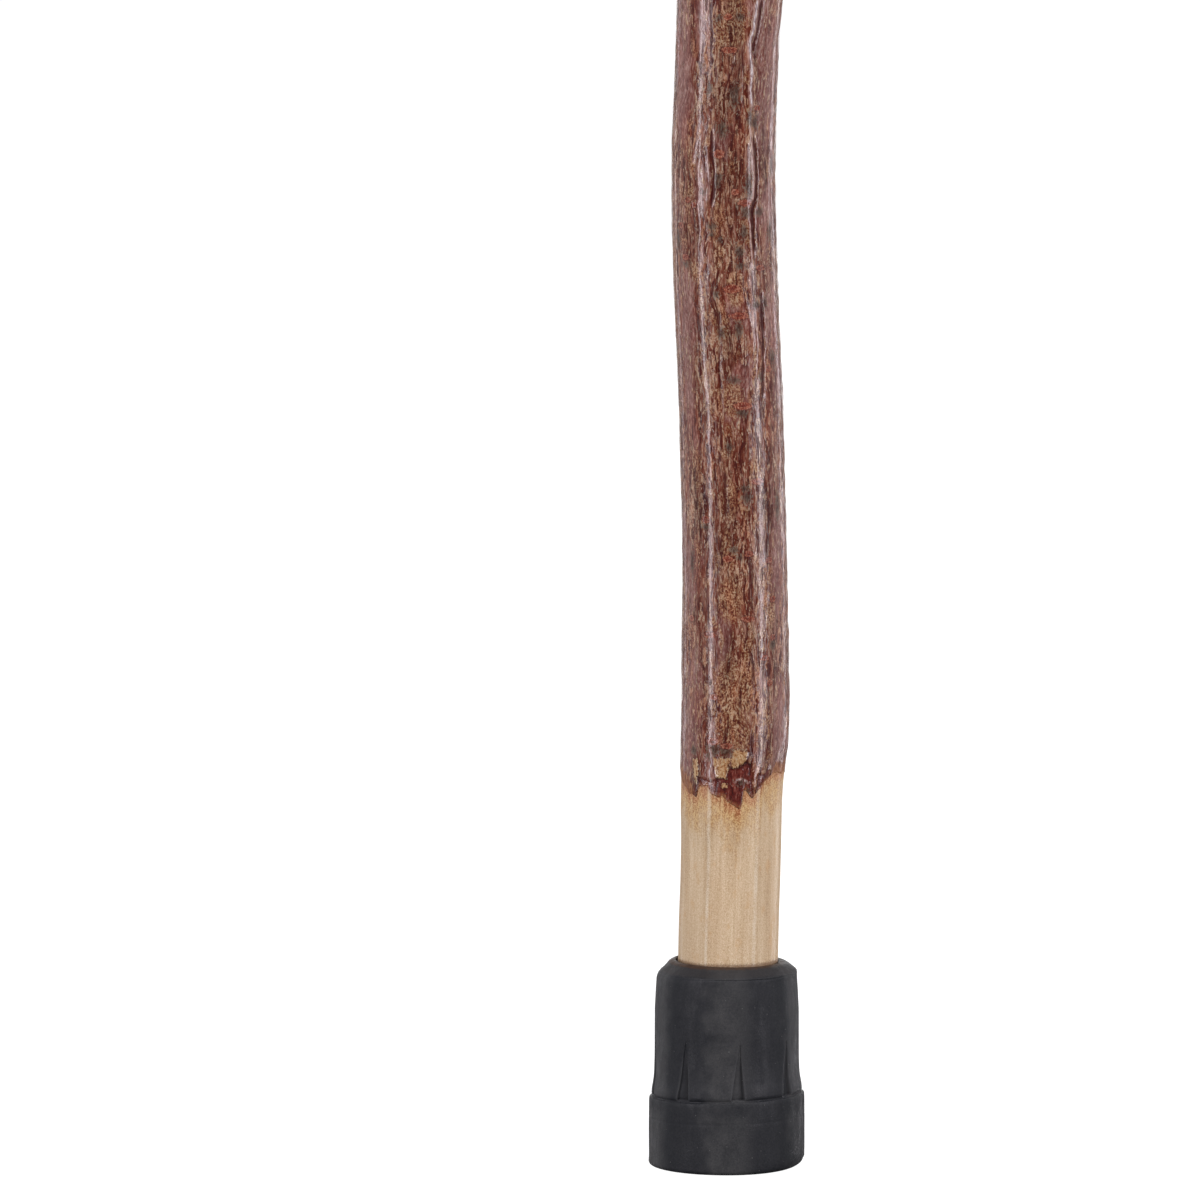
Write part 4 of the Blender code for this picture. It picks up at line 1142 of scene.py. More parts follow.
def build_ferrule():
    outline = [(0.6, 0.0), (5.0, 0.0), (9.7, 0.0)]
    outline += [(10.0, 0.05), (10.12, 0.35), (10.2, 1.3), (10.45, 1.6), (12.15, 1.6),
                (12.4, 1.3), (12.5, 0.35), (12.62, 0.05), (12.9, 0.0)]
    outline += [(15.5, 0.0), (17.6, 0.0)]
    outline += arc(18.15, 1.1, 1.1, -90, 0, 8)
    outline += [(19.28, 2.2), (19.30, 4.0), (19.32, 6.5), (19.32, 9.0), (19.33, 11.6),
                (19.32, 12.1), (19.295, 12.3), (19.29, 12.4), (19.31, 12.6),
                (19.31, 13.1), (19.30, 14.4), (19.28, 15.7), (19.26, 16.5)]
    outline += arc(18.72, 17.2, 0.50, 12, 90, 7)
    outline += [(18.60, 17.70), (18.48, 17.64), (18.40, 17.72), (18.40, 17.96),
                (18.54, 18.2), (18.64, 18.4)]
    n_low = len(outline)
    for z in np.linspace(19.0, 46.6, 66):
        r = np.interp(z, (18.4, 19.6, 20.8, 22.2, 24.0, 27.0, 39.0, 44.0, 46.6),
                      (18.66, 18.56, 18.36, 18.14, 18.00, 17.88, 17.84, 17.60, 17.42))
        outline.append((float(r), float(z)))
    outline += [(17.40, 47.0), (17.38, 47.5), (17.36, 47.9), (17.32, 48.08)]
    n_line = len(outline)
    outline += [(17.24, 48.18), (17.20, 48.30), (17.22, 48.42), (17.20, 48.54),
                (17.06, 48.72), (16.72, 49.0), (16.2, 49.42), (15.5, 49.96),
                (14.9, 50.34), (14.3, 50.62), (13.8, 50.78)]
    outline += [(13.4, 50.86), (13.05, 50.88), (12.8, 50.80), (12.64, 50.58),
                (12.6, 50.2), (12.66, 49.4), (12.7, 48.2),
                (12.7, 46.0), (12.7, 36.0), (12.7, 26.0), (12.7, 16.0),
                (12.65, 13.6), (12.4, 13.25), (11.8, 13.2), (6.0, 13.2), (0.6, 13.2)]
    per = 36
    segments = 8 * per

    def notch_half(z):
        return 0.10 + 1.66 * np.clip((NOTCH_TOP - z) / (NOTCH_TOP - NOTCH_LOW), 0, 1)

    def angles(n, r, z, base):
        k = np.arange(segments) % per - per // 2
        sector = np.arange(segments) // per
        plain = 45.0 * k / per
        half = math.degrees(notch_half(z) / 18.0)
        mag = np.abs(k)
        tight = np.select([mag == 0, mag == 1, mag == 2, mag == 3, mag == 4],
                          [0.0, 0.45 * half, 0.86 * half, half, half + 0.55],
                          half + 0.55 + (22.5 - half - 0.55) * (mag - 4) / (per / 2 - 4.0))
        tight = np.sign(k) * tight
        outer = n_low - 8 <= n <= n_low + 66
        blend = 0.0
        if outer:
            blend = float(np.interp(z, (17.4, 18.1, NOTCH_TOP, NOTCH_TOP + 5), (0, 1, 1, 0)))
        lean = 1.7 * blend * np.clip((NOTCH_TOP - z) / (NOTCH_TOP - NOTCH_LOW), 0, 1)
        return NOTCH_AT + sector * 45.0 + plain * (1 - blend) + tight * blend - lean

    def shift(n, r, z, a):
        k = np.arange(segments) % per - per // 2
        zz = z[0]
        # the shoulder and the band sit a little askew on the body
        skew = 0.031 * r * np.sin(np.radians(a)) + 0.022 * r * np.cos(np.radians(a))
        if 18.0 <= zz < NOTCH_TOP + 0.05 and n_low - 3 <= n <= n_low + 66:
            # each notch slopes in from the left to a steep right wall
            depth = 0.16 + 0.62 * (NOTCH_TOP - zz) / (NOTCH_TOP - NOTCH_LOW)
            depth *= ease((NOTCH_TOP + 0.05 - zz) / 0.5)
            r = r - np.select([k == -2, k == -1, k == 0, k == 1, k == 2, np.abs(k) == 3],
                              [depth * 0.60, depth * 0.68, depth * 0.84, depth, depth,
                               0.02], 0.0)
        t = np.radians(a)
        if n_line <= n < n_line + 3:
            # the moulding's line under the chamfer is deep only at the front right
            r = r - 0.24 * (n == n_line + 1) * ease((wrap(a) + 12) / 8) * ease((56 - wrap(a)) / 16)
        if zz > 46.9 and r.mean() > 13.2:
            # the chamfer is fuller on the right than on the left
            full = ease((r.mean() - 13.2) / 1.0) * np.sin(t) ** 2
            more = np.interp(zz, (47.6, 48.2, 49.4, 50.0, 50.7), (0.0, 0.12, 0.15, 0.27, 0.50))
            less = np.interp(zz, (46.9, 47.9, 48.7, 50.0, 50.8), (0.0, 0.35, 0.80, 0.62, 0.35))
            r = r + full * np.where(np.sin(t) > 0, more, -less)
        if zz > 49.5:
            z = z + (0.16 - 0.26 * np.sin(t)) * ease((zz - 49.5) / 1.0)
        if zz < 2.3 and r.mean() > 14.0:
            # the foot is worn rounder on the right than on the left
            wear = np.where(np.sin(t) > 0, 1.5 * np.sin(t) ** 2, -0.30 * np.sin(t) ** 2)
            r = r - wear * (1 - zz / 2.3) ** 1.6 * min(1.0, (r.mean() - 14.0) / 3.5)
        p = np.stack([np.sin(t) * r, -np.cos(t) * r, z], -1)
        if r.mean() > 13.5 and zz > 0.8:
            r = r + 0.045 * noise(p / 7.0, 90) + 0.012 * noise(p / 1.6, 91)
            z = z + skew * np.interp(zz, (0.8, 3.0, 17.0, 21.0, 28.0), (0.0, 0.3, 1.0, 0.9, 0.0))
        return r, z

    ferrule = lathe("ferrule", outline, segments, angles, shift)
    # painted light on the notches: a painted highlight on their edges, the left one of each most,
    # and painted shade in their floors
    k = np.arange(segments) % per - per // 2
    painted_light = np.zeros((len(outline), segments, 3))
    for n in range(n_low - 2, n_low + 67):
        low = ease((NOTCH_TOP - 1.5 - outline[n][1]) / 6.0)
        painted_light[n, :, 0] = low * np.select([k == -3, k == -4, k == 3, k == 4],
                                          [1.0, 0.45, 0.8, 0.3], 0.0)
        painted_light[n, :, 1] = low * np.select([k == -2, k == -1, k == 0, k == 1, k == 2],
                                          [0.75, 0.10, 0.35, 1.0, 0.9], 0.0)
    set_attribute(ferrule, "painted_light", np.concatenate([painted_light.reshape(-1, 3),
                                                     np.zeros((2, 3))]))
    return ferrule


def build_washer():
    outline = [(3.2, 13.62), (3.35, 13.5), (12.05, 13.5), (12.2, 13.56), (12.3, 13.7),
               (12.3, 14.8), (12.2, 14.94), (12.05, 15.0), (9.0, 14.985), (6.0, 14.985),
               (3.5, 15.0), (3.3, 14.94), (3.2, 14.8)]
    return lathe("washer", outline, 96, close_axis=False)


# ---------------------------------------------------------------------------
# materials
# ---------------------------------------------------------------------------
def linear(code):
    out = []
    for i in (0, 2, 4):
        c = int(code[i:i + 2], 16) / 255.0
        out.append(c / 12.92 if c <= 0.04045 else ((c + 0.055) / 1.055) ** 2.4)
    return out


def seen(code, gain=None, sheen=None):
    """Albedo of a surface that reads as this sRGB colour in the render."""
    gain = SEEN_GAIN if gain is None else gain
    sheen = SEEN_SHEEN if sheen is None else sheen
    return (*[max(c - sheen, 0.0022) * gain * k
              for c, k in zip(linear(code), SEEN_TINT)], 1.0)


class Tree:
    """A short way to write a material's nodes."""

    def __init__(self, name, **values):
        self.mat = bpy.data.materials.new(name)
        self.mat.use_nodes = True
        self.nodes = self.mat.node_tree.nodes
        self.links = self.mat.node_tree.links
        self.shader = self.nodes["Principled BSDF"]
        for key, value in values.items():
            self.shader.inputs[key.replace("_", " ")].default_value = value

    def put(self, socket, value):
        if isinstance(value, bpy.types.NodeSocket):
            self.links.new(value, socket)
        elif value is not None:
            socket.default_value = value

    def math(self, op, a, b=None, c=None, clamp=False):
        n = self.nodes.new("ShaderNodeMath")
        n.operation, n.use_clamp = op, clamp
        for socket, value in zip(n.inputs, (a, b, c)):
            self.put(socket, value)
        return n.outputs[0]

    def vector(self, op, a, b=None):
        n = self.nodes.new("ShaderNodeVectorMath")
        n.operation = op
        self.put(n.inputs[0], a)
        if op == "SCALE":
            self.put(n.inputs[3], b)
        else:
            self.put(n.inputs[1], b)
        return n.outputs[1] if op in ("LENGTH", "DOT_PRODUCT") else n.outputs[0]

    def attribute(self, name):
        n = self.nodes.new("ShaderNodeAttribute")
        n.attribute_name = name
        return n.outputs["Vector"]

    def split(self, v):
        n = self.nodes.new("ShaderNodeSeparateXYZ")
        self.put(n.inputs[0], v)
        return n.outputs[0], n.outputs[1], n.outputs[2]

    def join(self, x, y, z):
        n = self.nodes.new("ShaderNodeCombineXYZ")
        for socket, value in zip(n.inputs, (x, y, z)):
            self.put(socket, value)
        return n.outputs[0]

    def noise(self, v, scale=1.0, detail=2.0, rough=0.5, twist=0.0, colour=False):
        n = self.nodes.new("ShaderNodeTexNoise")
        self.put(n.inputs["Vector"], v)
        self.put(n.inputs["Scale"], scale)
        self.put(n.inputs["Detail"], detail)
        self.put(n.inputs["Roughness"], rough)
        self.put(n.inputs["Distortion"], twist)
        return n.outputs[1] if colour else n.outputs[0]

    def cells(self, v, scale=1.0, feature="F1", randomness=1.0):
        n = self.nodes.new("ShaderNodeTexVoronoi")
        n.feature = feature
        self.put(n.inputs["Vector"], v)
        self.put(n.inputs["Scale"], scale)
        self.put(n.inputs["Randomness"], randomness)
        return n.outputs["Distance"]

    def ramp(self, fac, stops, mode="LINEAR"):
        n = self.nodes.new("ShaderNodeValToRGB")
        n.color_ramp.interpolation = mode
        e = n.color_ramp.elements
        while len(e) < len(stops):
            e.new(1.0)
        for element, (at, colour) in zip(e, stops):
            element.position = at
            element.color = colour
        self.put(n.inputs[0], fac)
        return n.outputs[0]

    def step(self, value, low, high, to_low=0.0, to_high=1.0):
        n = self.nodes.new("ShaderNodeMapRange")
        n.interpolation_type = "SMOOTHSTEP"
        for socket, v in zip(n.inputs, (value, low, high, to_low, to_high)):
            self.put(socket, v)
        return n.outputs[0]

    def mix(self, fac, a, b, blend="MIX"):
        n = self.nodes.new("ShaderNodeMix")
        n.data_type, n.blend_type = "RGBA", blend
        self.put(n.inputs[0], fac)
        self.put(n.inputs[6], a)
        self.put(n.inputs[7], b)
        return n.outputs[2]

    def bump(self, height, distance, strength=1.0, normal=None):
        n = self.nodes.new("ShaderNodeBump")
        self.put(n.inputs["Height"], height)
        n.inputs["Distance"].default_value = distance
        n.inputs["Strength"].default_value = strength
        if normal is not None:
            self.put(n.inputs["Normal"], normal)
        return n.outputs[0]

    def out(self, name, value):
        self.put(self.shader.inputs[name], value)


def bark_material():
    t = Tree("bark", Coat_Weight=0.72, Coat_Roughness=0.12, Coat_IOR=1.5,
             Specular_IOR_Level=0.08)
    pos = t.attribute("bpos")
    pores, stains, flakes = t.split(t.attribute("marks"))
    red, tan, rim = t.split(t.attribute("torn"))
    groove, lip, fade = t.split(t.attribute("shape"))
    granular, taut, shaded = t.split(t.attribute("zones"))

    def at(scale, offset=0.0, detail=2.0, rough=0.5, twist=0.0):
        v = t.vector("MULTIPLY", pos, scale)
        if offset:
            v = t.vector("ADD", v, (offset, offset * 0.7, offset * 1.3))
        return t.noise(v, 1.0, detail, rough, twist)

    # fibres wander a little
    bend = t.vector("SUBTRACT", t.noise(t.vector("MULTIPLY", pos, (0.26, 0.26, 0.12)),
                                        1.0, 2.0, 0.5, colour=True), (0.5, 0.5, 0.5))
    pos = t.vector("ADD", pos, t.vector("MULTIPLY", bend, (1.9, 1.9, 5.0)))
    streak = at((1.10, 1.10, 0.10), 0.0, 3.0, 0.60)
    fleck = at((1.50, 1.50, 0.33), 11.0, 3.0, 0.62)
    fibre = at((2.9, 2.9, 0.74), 3.0, 2.0, 0.65)
    grain = at((2.4, 2.4, 1.8), 5.0, 2.0, 0.68)
    speck = at((6.0, 6.0, 4.5), 8.0, 1.0, 0.5)
    zone = at((0.14, 0.14, 0.05), 2.0, 2.0, 0.5)
    zone2 = at((0.22, 0.22, 0.10), 21.0, 2.0, 0.5)
    fissure = at((1.15, 1.15, 0.13), 31.0, 2.0, 0.5)
    vein = t.math("ABSOLUTE", t.math("SUBTRACT", at((0.85, 0.85, 0.12), 41.0, 2.0, 0.5), 0.5))

    f = t.math("MULTIPLY_ADD", streak, 0.60, t.math("MULTIPLY", fibre, 0.28))
    f = t.math("MULTIPLY_ADD", speck, 0.12, f)
    bark = t.ramp(f, [(0.38, seen("441a12")), (0.45, seen("622b1e")),
                      (0.50, seen("7b4232")), (0.55, seen("93604f")),
                      (0.62, seen("b08876"))])
    # taut bark: even mauve brown with fine upright lines, lighter and greyer than the rest; it is
    # partly the bark's own colour and partly a painted sheen on the flanks, where most of it lies
    even_and_sheen = t.ramp(t.math("MULTIPLY_ADD", fibre, 0.6, t.math("MULTIPLY", streak, 0.4)), [
        (0.39, seen("663530")), (0.47, seen("845149")), (0.54, seen("9a6e66")),
        (0.62, seen("bc988e"))])
    tautness = t.math("MAXIMUM", t.step(t.math("MULTIPLY_ADD", grain, 0.5, taut), 0.58, 0.86),
                      t.step(zone, 0.43, 0.36))
    bark = t.mix(t.math("MULTIPLY", tautness, 0.85), bark, even_and_sheen)
    # pale flecks of cork
    amount = t.math("MULTIPLY_ADD", t.math("SUBTRACT", zone, 0.5), 0.36, fleck)
    amount = t.math("MULTIPLY_ADD", t.math("SUBTRACT", fibre, 0.5), 0.30, amount)
    amount = t.math("MULTIPLY_ADD", granular, 0.055, amount)
    amount = t.math("MULTIPLY_ADD", tautness, -0.055, amount)
    amount = t.math("MULTIPLY_ADD", t.step(flakes, 0.25, 0.7), 0.17, amount)
    flecked = t.step(amount, 0.536, 0.554)
    cork = t.ramp(t.math("MULTIPLY_ADD", grain, 0.6, t.math("MULTIPLY", fibre, 0.4)), [
        (0.38, seen("85503b")), (0.45, seen("a4735b")), (0.51, seen("b98f75")),
        (0.57, seen("c9a88e")), (0.66, seen("dcc3aa"))])
    rim_shade = t.math("MULTIPLY", t.step(amount, 0.500, 0.525), 0.45)
    bark = t.mix(rim_shade, bark, seen("562b20"))
    bark = t.mix(t.math("MULTIPLY", flecked, 0.88), bark, cork)
    # granular stretches: rusty and golden crumbs in dark lines
    crumbs = t.ramp(t.math("MULTIPLY_ADD", grain, 0.75, t.math("MULTIPLY", fibre, 0.25)), [
        (0.39, seen("401509")), (0.45, seen("703322")), (0.50, seen("966043")),
        (0.55, seen("b98d69")), (0.63, seen("d6b794"))])
    crumbly = t.step(t.math("MAXIMUM", t.math("MULTIPLY_ADD", grain, 0.5, granular),
                            t.math("MULTIPLY_ADD", t.math("SUBTRACT", zone2, 0.5), 3.2, 0.5)),
                     0.66, 0.92)
    crumbly = t.math("MULTIPLY", crumbly, t.step(taut, 0.15, 0.55, 1.0, 0.15))
    bark = t.mix(t.math("MULTIPLY", crumbly, 0.70), bark, crumbs)
    # dark fissures and thin veins, fewest where the bark is taut
    loose = t.math("MULTIPLY_ADD", tautness, -0.85, 1.0)
    cracked = t.math("MULTIPLY", t.step(fissure, 0.400, 0.360), loose)
    bark = t.mix(t.math("MULTIPLY", cracked, 0.80), bark, seen("4c1c12"))
    veined = t.math("MULTIPLY", t.math("MULTIPLY", t.step(vein, 0.022, 0.008), 0.6), loose)
    bark = t.mix(veined, bark, seen("542417"))
    # broad darker stretches
    bark = t.mix(t.math("MULTIPLY", t.step(shaded, 0.15, 0.85), 0.55), bark,
                 t.mix(1.0, bark, (0.58, 0.56, 0.58, 1), "MULTIPLY"))
    # warmer, redder stretches
    rusty = t.step(at((0.30, 0.30, 0.06), 51.0), 0.50, 0.64)
    bark = t.mix(t.math("MULTIPLY", rusty, 0.50), bark,
                 t.mix(1.0, bark, (1.0, 0.64, 0.50, 1), "MULTIPLY"))
    # the torn lower rim, where the red inner bark shows
    rough_red = t.math("MULTIPLY_ADD", t.math("SUBTRACT", fibre, 0.5), 1.1, red)
    peeled = t.step(rough_red, -0.10, 0.14)
    inner = t.ramp(t.math("MULTIPLY_ADD", streak, 0.5, t.math("MULTIPLY", fibre, 0.5)), [
        (0.38, seen("42120f")), (0.46, seen("5e211b")), (0.54, seen("75332b")),
        (0.62, seen("9a5c50"))])
    frayed = t.step(t.math("MULTIPLY_ADD", fibre, 3.4, t.math("MULTIPLY_ADD", grain, 2.0, rim)),
                    3.9, 2.6)
    inner = t.mix(t.math("MULTIPLY", frayed, 0.85), inner,
                  t.ramp(grain, [(0.40, seen("9a5232")), (0.60, seen("d09a70"))]))
    bark = t.mix(peeled, bark, inner)
    gold = t.ramp(t.math("MULTIPLY_ADD", grain, 0.7, t.math("MULTIPLY", fibre, 0.3)), [
        (0.38, seen("84502f")), (0.46, seen("b07e56")), (0.53, seen("c99e72")),
        (0.62, seen("dfc199"))])
    ragged = t.math("MULTIPLY_ADD", t.math("SUBTRACT", fibre, 0.5), 1.5, tan)
    ragged = t.math("MULTIPLY_ADD", t.math("SUBTRACT", grain, 0.5), 1.6, ragged)
    flake = t.step(ragged, -0.06, 0.12)
    # painted shadow: a dark line round each standing flake
    outline = t.math("SUBTRACT", t.step(ragged, -0.50, -0.20), flake)
    bark = t.mix(t.math("MULTIPLY", outline, 0.60), bark, seen("4a1a12"))
    bark = t.mix(t.math("MULTIPLY", flake, 0.95), bark, gold)
    # lichen-grey stains with black flecks
    edge = t.math("MULTIPLY_ADD", t.math("SUBTRACT", grain, 0.5), 2.5, stains)
    edge = t.math("MULTIPLY_ADD", t.math("SUBTRACT", fibre, 0.5), 1.2, edge)
    stained = t.step(edge, 0.38, 0.62)
    grey = t.ramp(t.math("MULTIPLY_ADD", fibre, 0.4, t.math("MULTIPLY", grain, 0.6)), [
        (0.39, seen("261a16")), (0.46, seen("48372f")), (0.53, seen("6c5a4f")),
        (0.61, seen("988676"))])
    bark = t.mix(t.math("MULTIPLY", stained, 0.74), bark, grey)
    bark = t.mix(t.math("MULTIPLY", t.step(edge, 0.70, 1.15), 0.66), bark,
                 t.ramp(fibre, [(0.40, seen("1e1413")), (0.50, seen("3c2b27")),
                                (0.60, seen("66534c"))]))
    # pores: a rust-red lip round a dark slit
    edge = t.math("MULTIPLY_ADD", t.math("SUBTRACT", grain, 0.5), 0.9, pores)
    pore = t.step(edge, 0.30, 0.46)
    orange = t.ramp(t.math("MULTIPLY_ADD", grain, 0.6, t.math("MULTIPLY", speck, 0.4)), [
        (0.40, seen("5a1a10")), (0.48, seen("904031")), (0.54, seen("ab644e")),
        (0.62, seen("c4917a"))])
    slit = t.step(edge, 0.78, 0.95)
    orange = t.mix(t.math("MULTIPLY", slit, 0.75), orange, seen("4c1a12"))
    # painted shadow: a dark ring round each pore's raised lip
    bark = t.mix(t.math("MULTIPLY", t.math("SUBTRACT", t.step(pores, 0.16, 0.30), pore), 0.55),
                 bark, seen("3a1610"))
    bark = t.mix(t.math("MULTIPLY", pore, 0.84), bark, orange)
    # grooves and their pink lips
    bark = t.mix(t.math("MULTIPLY", t.step(groove, 0.30, 0.75), 0.9), bark, seen("4a1c12"))
    # the lips' pink is partly their own colour and partly a painted highlight; their crests are
    # painted pale lavender-white as a painted highlight
    bark = t.mix(t.math("MULTIPLY", t.step(lip, 0.20, 0.50), 0.60), bark,
                 t.ramp(fibre, [(0.40, seen("84594f")), (0.50, seen("b0877c")),
                                (0.60, seen("c9a79d"))]))
    bark = t.mix(t.math("MULTIPLY", t.step(lip, 0.78, 0.96), 0.86), bark,
                 t.ramp(fibre, [(0.40, seen("957c7d")), (0.50, seen("c5b1b3")),
                                (0.60, seen("e6dbdc"))]))
    # on the left the bark fades into the wood
    fading = t.math("MULTIPLY_ADD", t.math("SUBTRACT", fibre, 0.5), 1.2, fade)
    bark = t.mix(t.math("MULTIPLY", t.step(fading, 0.15, 0.85), 0.85), bark,
                 t.ramp(fibre, [(0.4, seen("8a5038")), (0.6, seen("b98660"))]))
    t.out("Base Color", bark)
    dull = t.math("MULTIPLY", cracked, 0.55)
    dull = t.math("MAXIMUM", dull, t.math("MULTIPLY", t.step(groove, 0.2, 0.6), 0.85))
    dull = t.math("MAXIMUM", dull, t.math("MULTIPLY", stained, 0.45))
    dull = t.math("MAXIMUM", dull, t.math("MULTIPLY", t.step(fading, 0.10, 0.6), 0.75))
    t.out("Coat Weight", t.math("MULTIPLY_ADD", dull, -0.72, 0.72))
    t.out("Roughness", t.step(f, 0.38, 0.6, 0.42, 0.58))
    height = t.math("MULTIPLY_ADD", flecked, 0.6, t.math("MULTIPLY", grain, 0.55))
    height = t.math("MULTIPLY_ADD", fibre, 0.8, height)
    height = t.math("MULTIPLY_ADD", cracked, -0.6, height)
    height = t.math("MULTIPLY_ADD", t.math("MULTIPLY", peeled, grain), 1.6, height)
    height = t.math("MULTIPLY_ADD", t.step(vein, 0.0, 0.022), 0.35, height)
    t.out("Normal", t.bump(height, 0.00020))
    t.out("Coat Normal", t.bump(height, 0.00020, 0.16))
    return t.mat


def tip_material():
    t = Tree("bare_wood", Coat_Weight=0.30, Coat_Roughness=0.30, Specular_IOR_Level=0.25)
    pos = t.attribute("gpos")
    cut, rings, hollow = t.split(t.attribute("ends"))
    below, height, angle = t.split(t.attribute("zone"))
    fine = t.noise(t.vector("MULTIPLY", pos, (1.9, 1.9, 0.045)), 1.0, 4.0, 0.62)
    broad = t.noise(t.vector("MULTIPLY", pos, (0.34, 0.34, 0.018)), 1.0, 2.0, 0.5)
    speck = t.noise(t.vector("MULTIPLY", pos, (3.4, 3.4, 2.4)), 1.0, 2.0, 0.62)
    sand = t.noise(t.vector("MULTIPLY", pos, (5.2, 5.2, 4.2)), 1.0, 1.0, 0.5)
    cloud = t.noise(t.vector("MULTIPLY", pos, (0.36, 0.36, 0.16)), 1.0, 3.0, 0.6)
    f = t.math("MULTIPLY_ADD", broad, 0.26, t.math("MULTIPLY", fine, 0.22))
    f = t.math("MULTIPLY_ADD", speck, 0.28, f)
    f = t.math("MULTIPLY_ADD", sand, 0.24, f)
    wood = t.ramp(f, [(0.37, seen("aa8a6b", WOOD)), (0.46, seen("c4a688", WOOD)),
                      (0.52, seen("cfb398", WOOD)), (0.61, seen("dfc9b0", WOOD))])
    # varnish and inner bark have stained the wood below the torn edge
    reach = t.math("MULTIPLY_ADD", t.math("SUBTRACT", cloud, 0.5), 22.0, below)
    reach = t.math("MULTIPLY_ADD", t.math("SUBTRACT", fine, 0.5), 7.0, reach)
    golden = t.step(reach, 12.0, 1.5)
    wood = t.mix(t.math("MULTIPLY", golden, 0.76), wood,
                 t.ramp(speck, [(0.36, seen("8e592d", WOOD)), (0.47, seen("ba8953", WOOD)),
                                (0.60, seen("d5b07c", WOOD))]))
    orange = t.step(t.math("MULTIPLY_ADD", t.math("SUBTRACT", fine, 0.5), 6.0,
                           t.math("MULTIPLY_ADD", t.math("SUBTRACT", cloud, 0.5), 8.0,
                                  below)), 3.6, 0.2)
    torn = t.ramp(t.math("MULTIPLY_ADD", speck, 0.5, t.math("MULTIPLY", fine, 0.5)), [
        (0.38, seen("7a3a22", WOOD)), (0.47, seen("a2613f", WOOD)),
        (0.54, seen("c08a66", WOOD)), (0.62, seen("dab496", WOOD))])
    wood = t.mix(t.math("MULTIPLY", orange, 0.80), wood, torn)
    mark = t.noise(t.vector("MULTIPLY", pos, (0.42, 0.42, 0.22)), 1.0, 3.0, 0.6)
    wood = t.mix(t.math("MULTIPLY", t.step(mark, 0.56, 0.70), 0.34), wood,
                 seen("c3925f", WOOD))
    x, y, z = t.split(pos)
    radius = t.vector("LENGTH", t.join(x, y, 0.0))
    side = t.math("DIVIDE", x, radius)
    # painted shade: the wood darkens towards its left and right sides, the left more, and more so
    # low on the tip
    painted_side_shade = t.math("MULTIPLY", t.math("MULTIPLY", side, side),
                    t.math("MULTIPLY_ADD", side, -0.07, 0.14))
    painted_side_shade = t.math("MULTIPLY", painted_side_shade, t.step(height, 70.0, 54.0, 1.0, 1.35))
    wood = t.mix(painted_side_shade, wood, t.mix(1.0, wood, (0.42, 0.38, 0.34, 1), "MULTIPLY"))
    # painted highlight: pale, broken lines along the facets' edges
    wander = t.noise(t.join(0.0, 0.0, t.math("MULTIPLY", z, 0.16)), 1.0, 3.0, 0.6)
    wander = t.math("MULTIPLY_ADD", wander, 0.06, -0.030)
    around = t.vector("SCALE", t.join(x, y, 0.0), t.math("DIVIDE", 1.0, radius))
    painted_light = 0.0
    for edge in (-27, 30, 88, 140, 190, 232, 275):
        e = math.radians(edge)
        aside = t.vector("DOT_PRODUCT", around, (math.cos(e), math.sin(e), 0.0))
        ahead = t.vector("DOT_PRODUCT", around, (math.sin(e), -math.cos(e), 0.0))
        off = t.math("ABSOLUTE", t.math("ADD", aside, wander))
        at_edge = t.math("MULTIPLY", t.step(off, 0.058, 0.010), t.step(ahead, 0.5, 0.6))
        painted_light = t.math("MAXIMUM", painted_light, at_edge)
    broken = t.math("MULTIPLY_ADD", sand, 0.5, t.math("MULTIPLY", cloud, 0.5))
    painted_light = t.math("MULTIPLY", painted_light, t.step(broken, 0.42, 0.58, 0.25, 1.0))
    wood = t.mix(t.math("MULTIPLY", painted_light, 0.50), wood, seen("eadccd", WOOD))
    wood = t.mix(1.0, wood, (0.985, 1.0, 0.935, 1), "MULTIPLY")
    # a dark line where the wood leaves the ferrule: dirt, with painted shade under the ferrule's lip
    grime_and_shade = t.math("MULTIPLY_ADD", t.math("SUBTRACT", speck, 0.5), 1.2, height)
    wood = t.mix(t.math("MULTIPLY", t.math("MULTIPLY", t.step(grime_and_shade, 51.9, 51.1),
                                           t.step(grime_and_shade, 48.8, 50.6, 0.10, 1.0)), 0.62),
                 wood, seen("5c3d2c", WOOD))
    ringed = t.math("MULTIPLY", rings, t.step(t.noise(pos, 0.11, 2.0, 0.5), 0.3, 0.7, 0.84, 1.16))
    year = t.math("SINE", t.math("MULTIPLY", ringed, 5.0))
    end = t.ramp(t.math("MULTIPLY_ADD", year, 0.4, 0.5), [
        (0.0, seen("a8845a")), (1.0, seen("c9a97f"))])
    wood = t.mix(cut, wood, end)
    t.out("Base Color", wood)
    t.out("Roughness", t.step(fine, 0.4, 0.6, 0.52, 0.64))
    t.out("Normal", t.bump(t.math("ADD", speck, sand), 0.00009))
    return t.mat


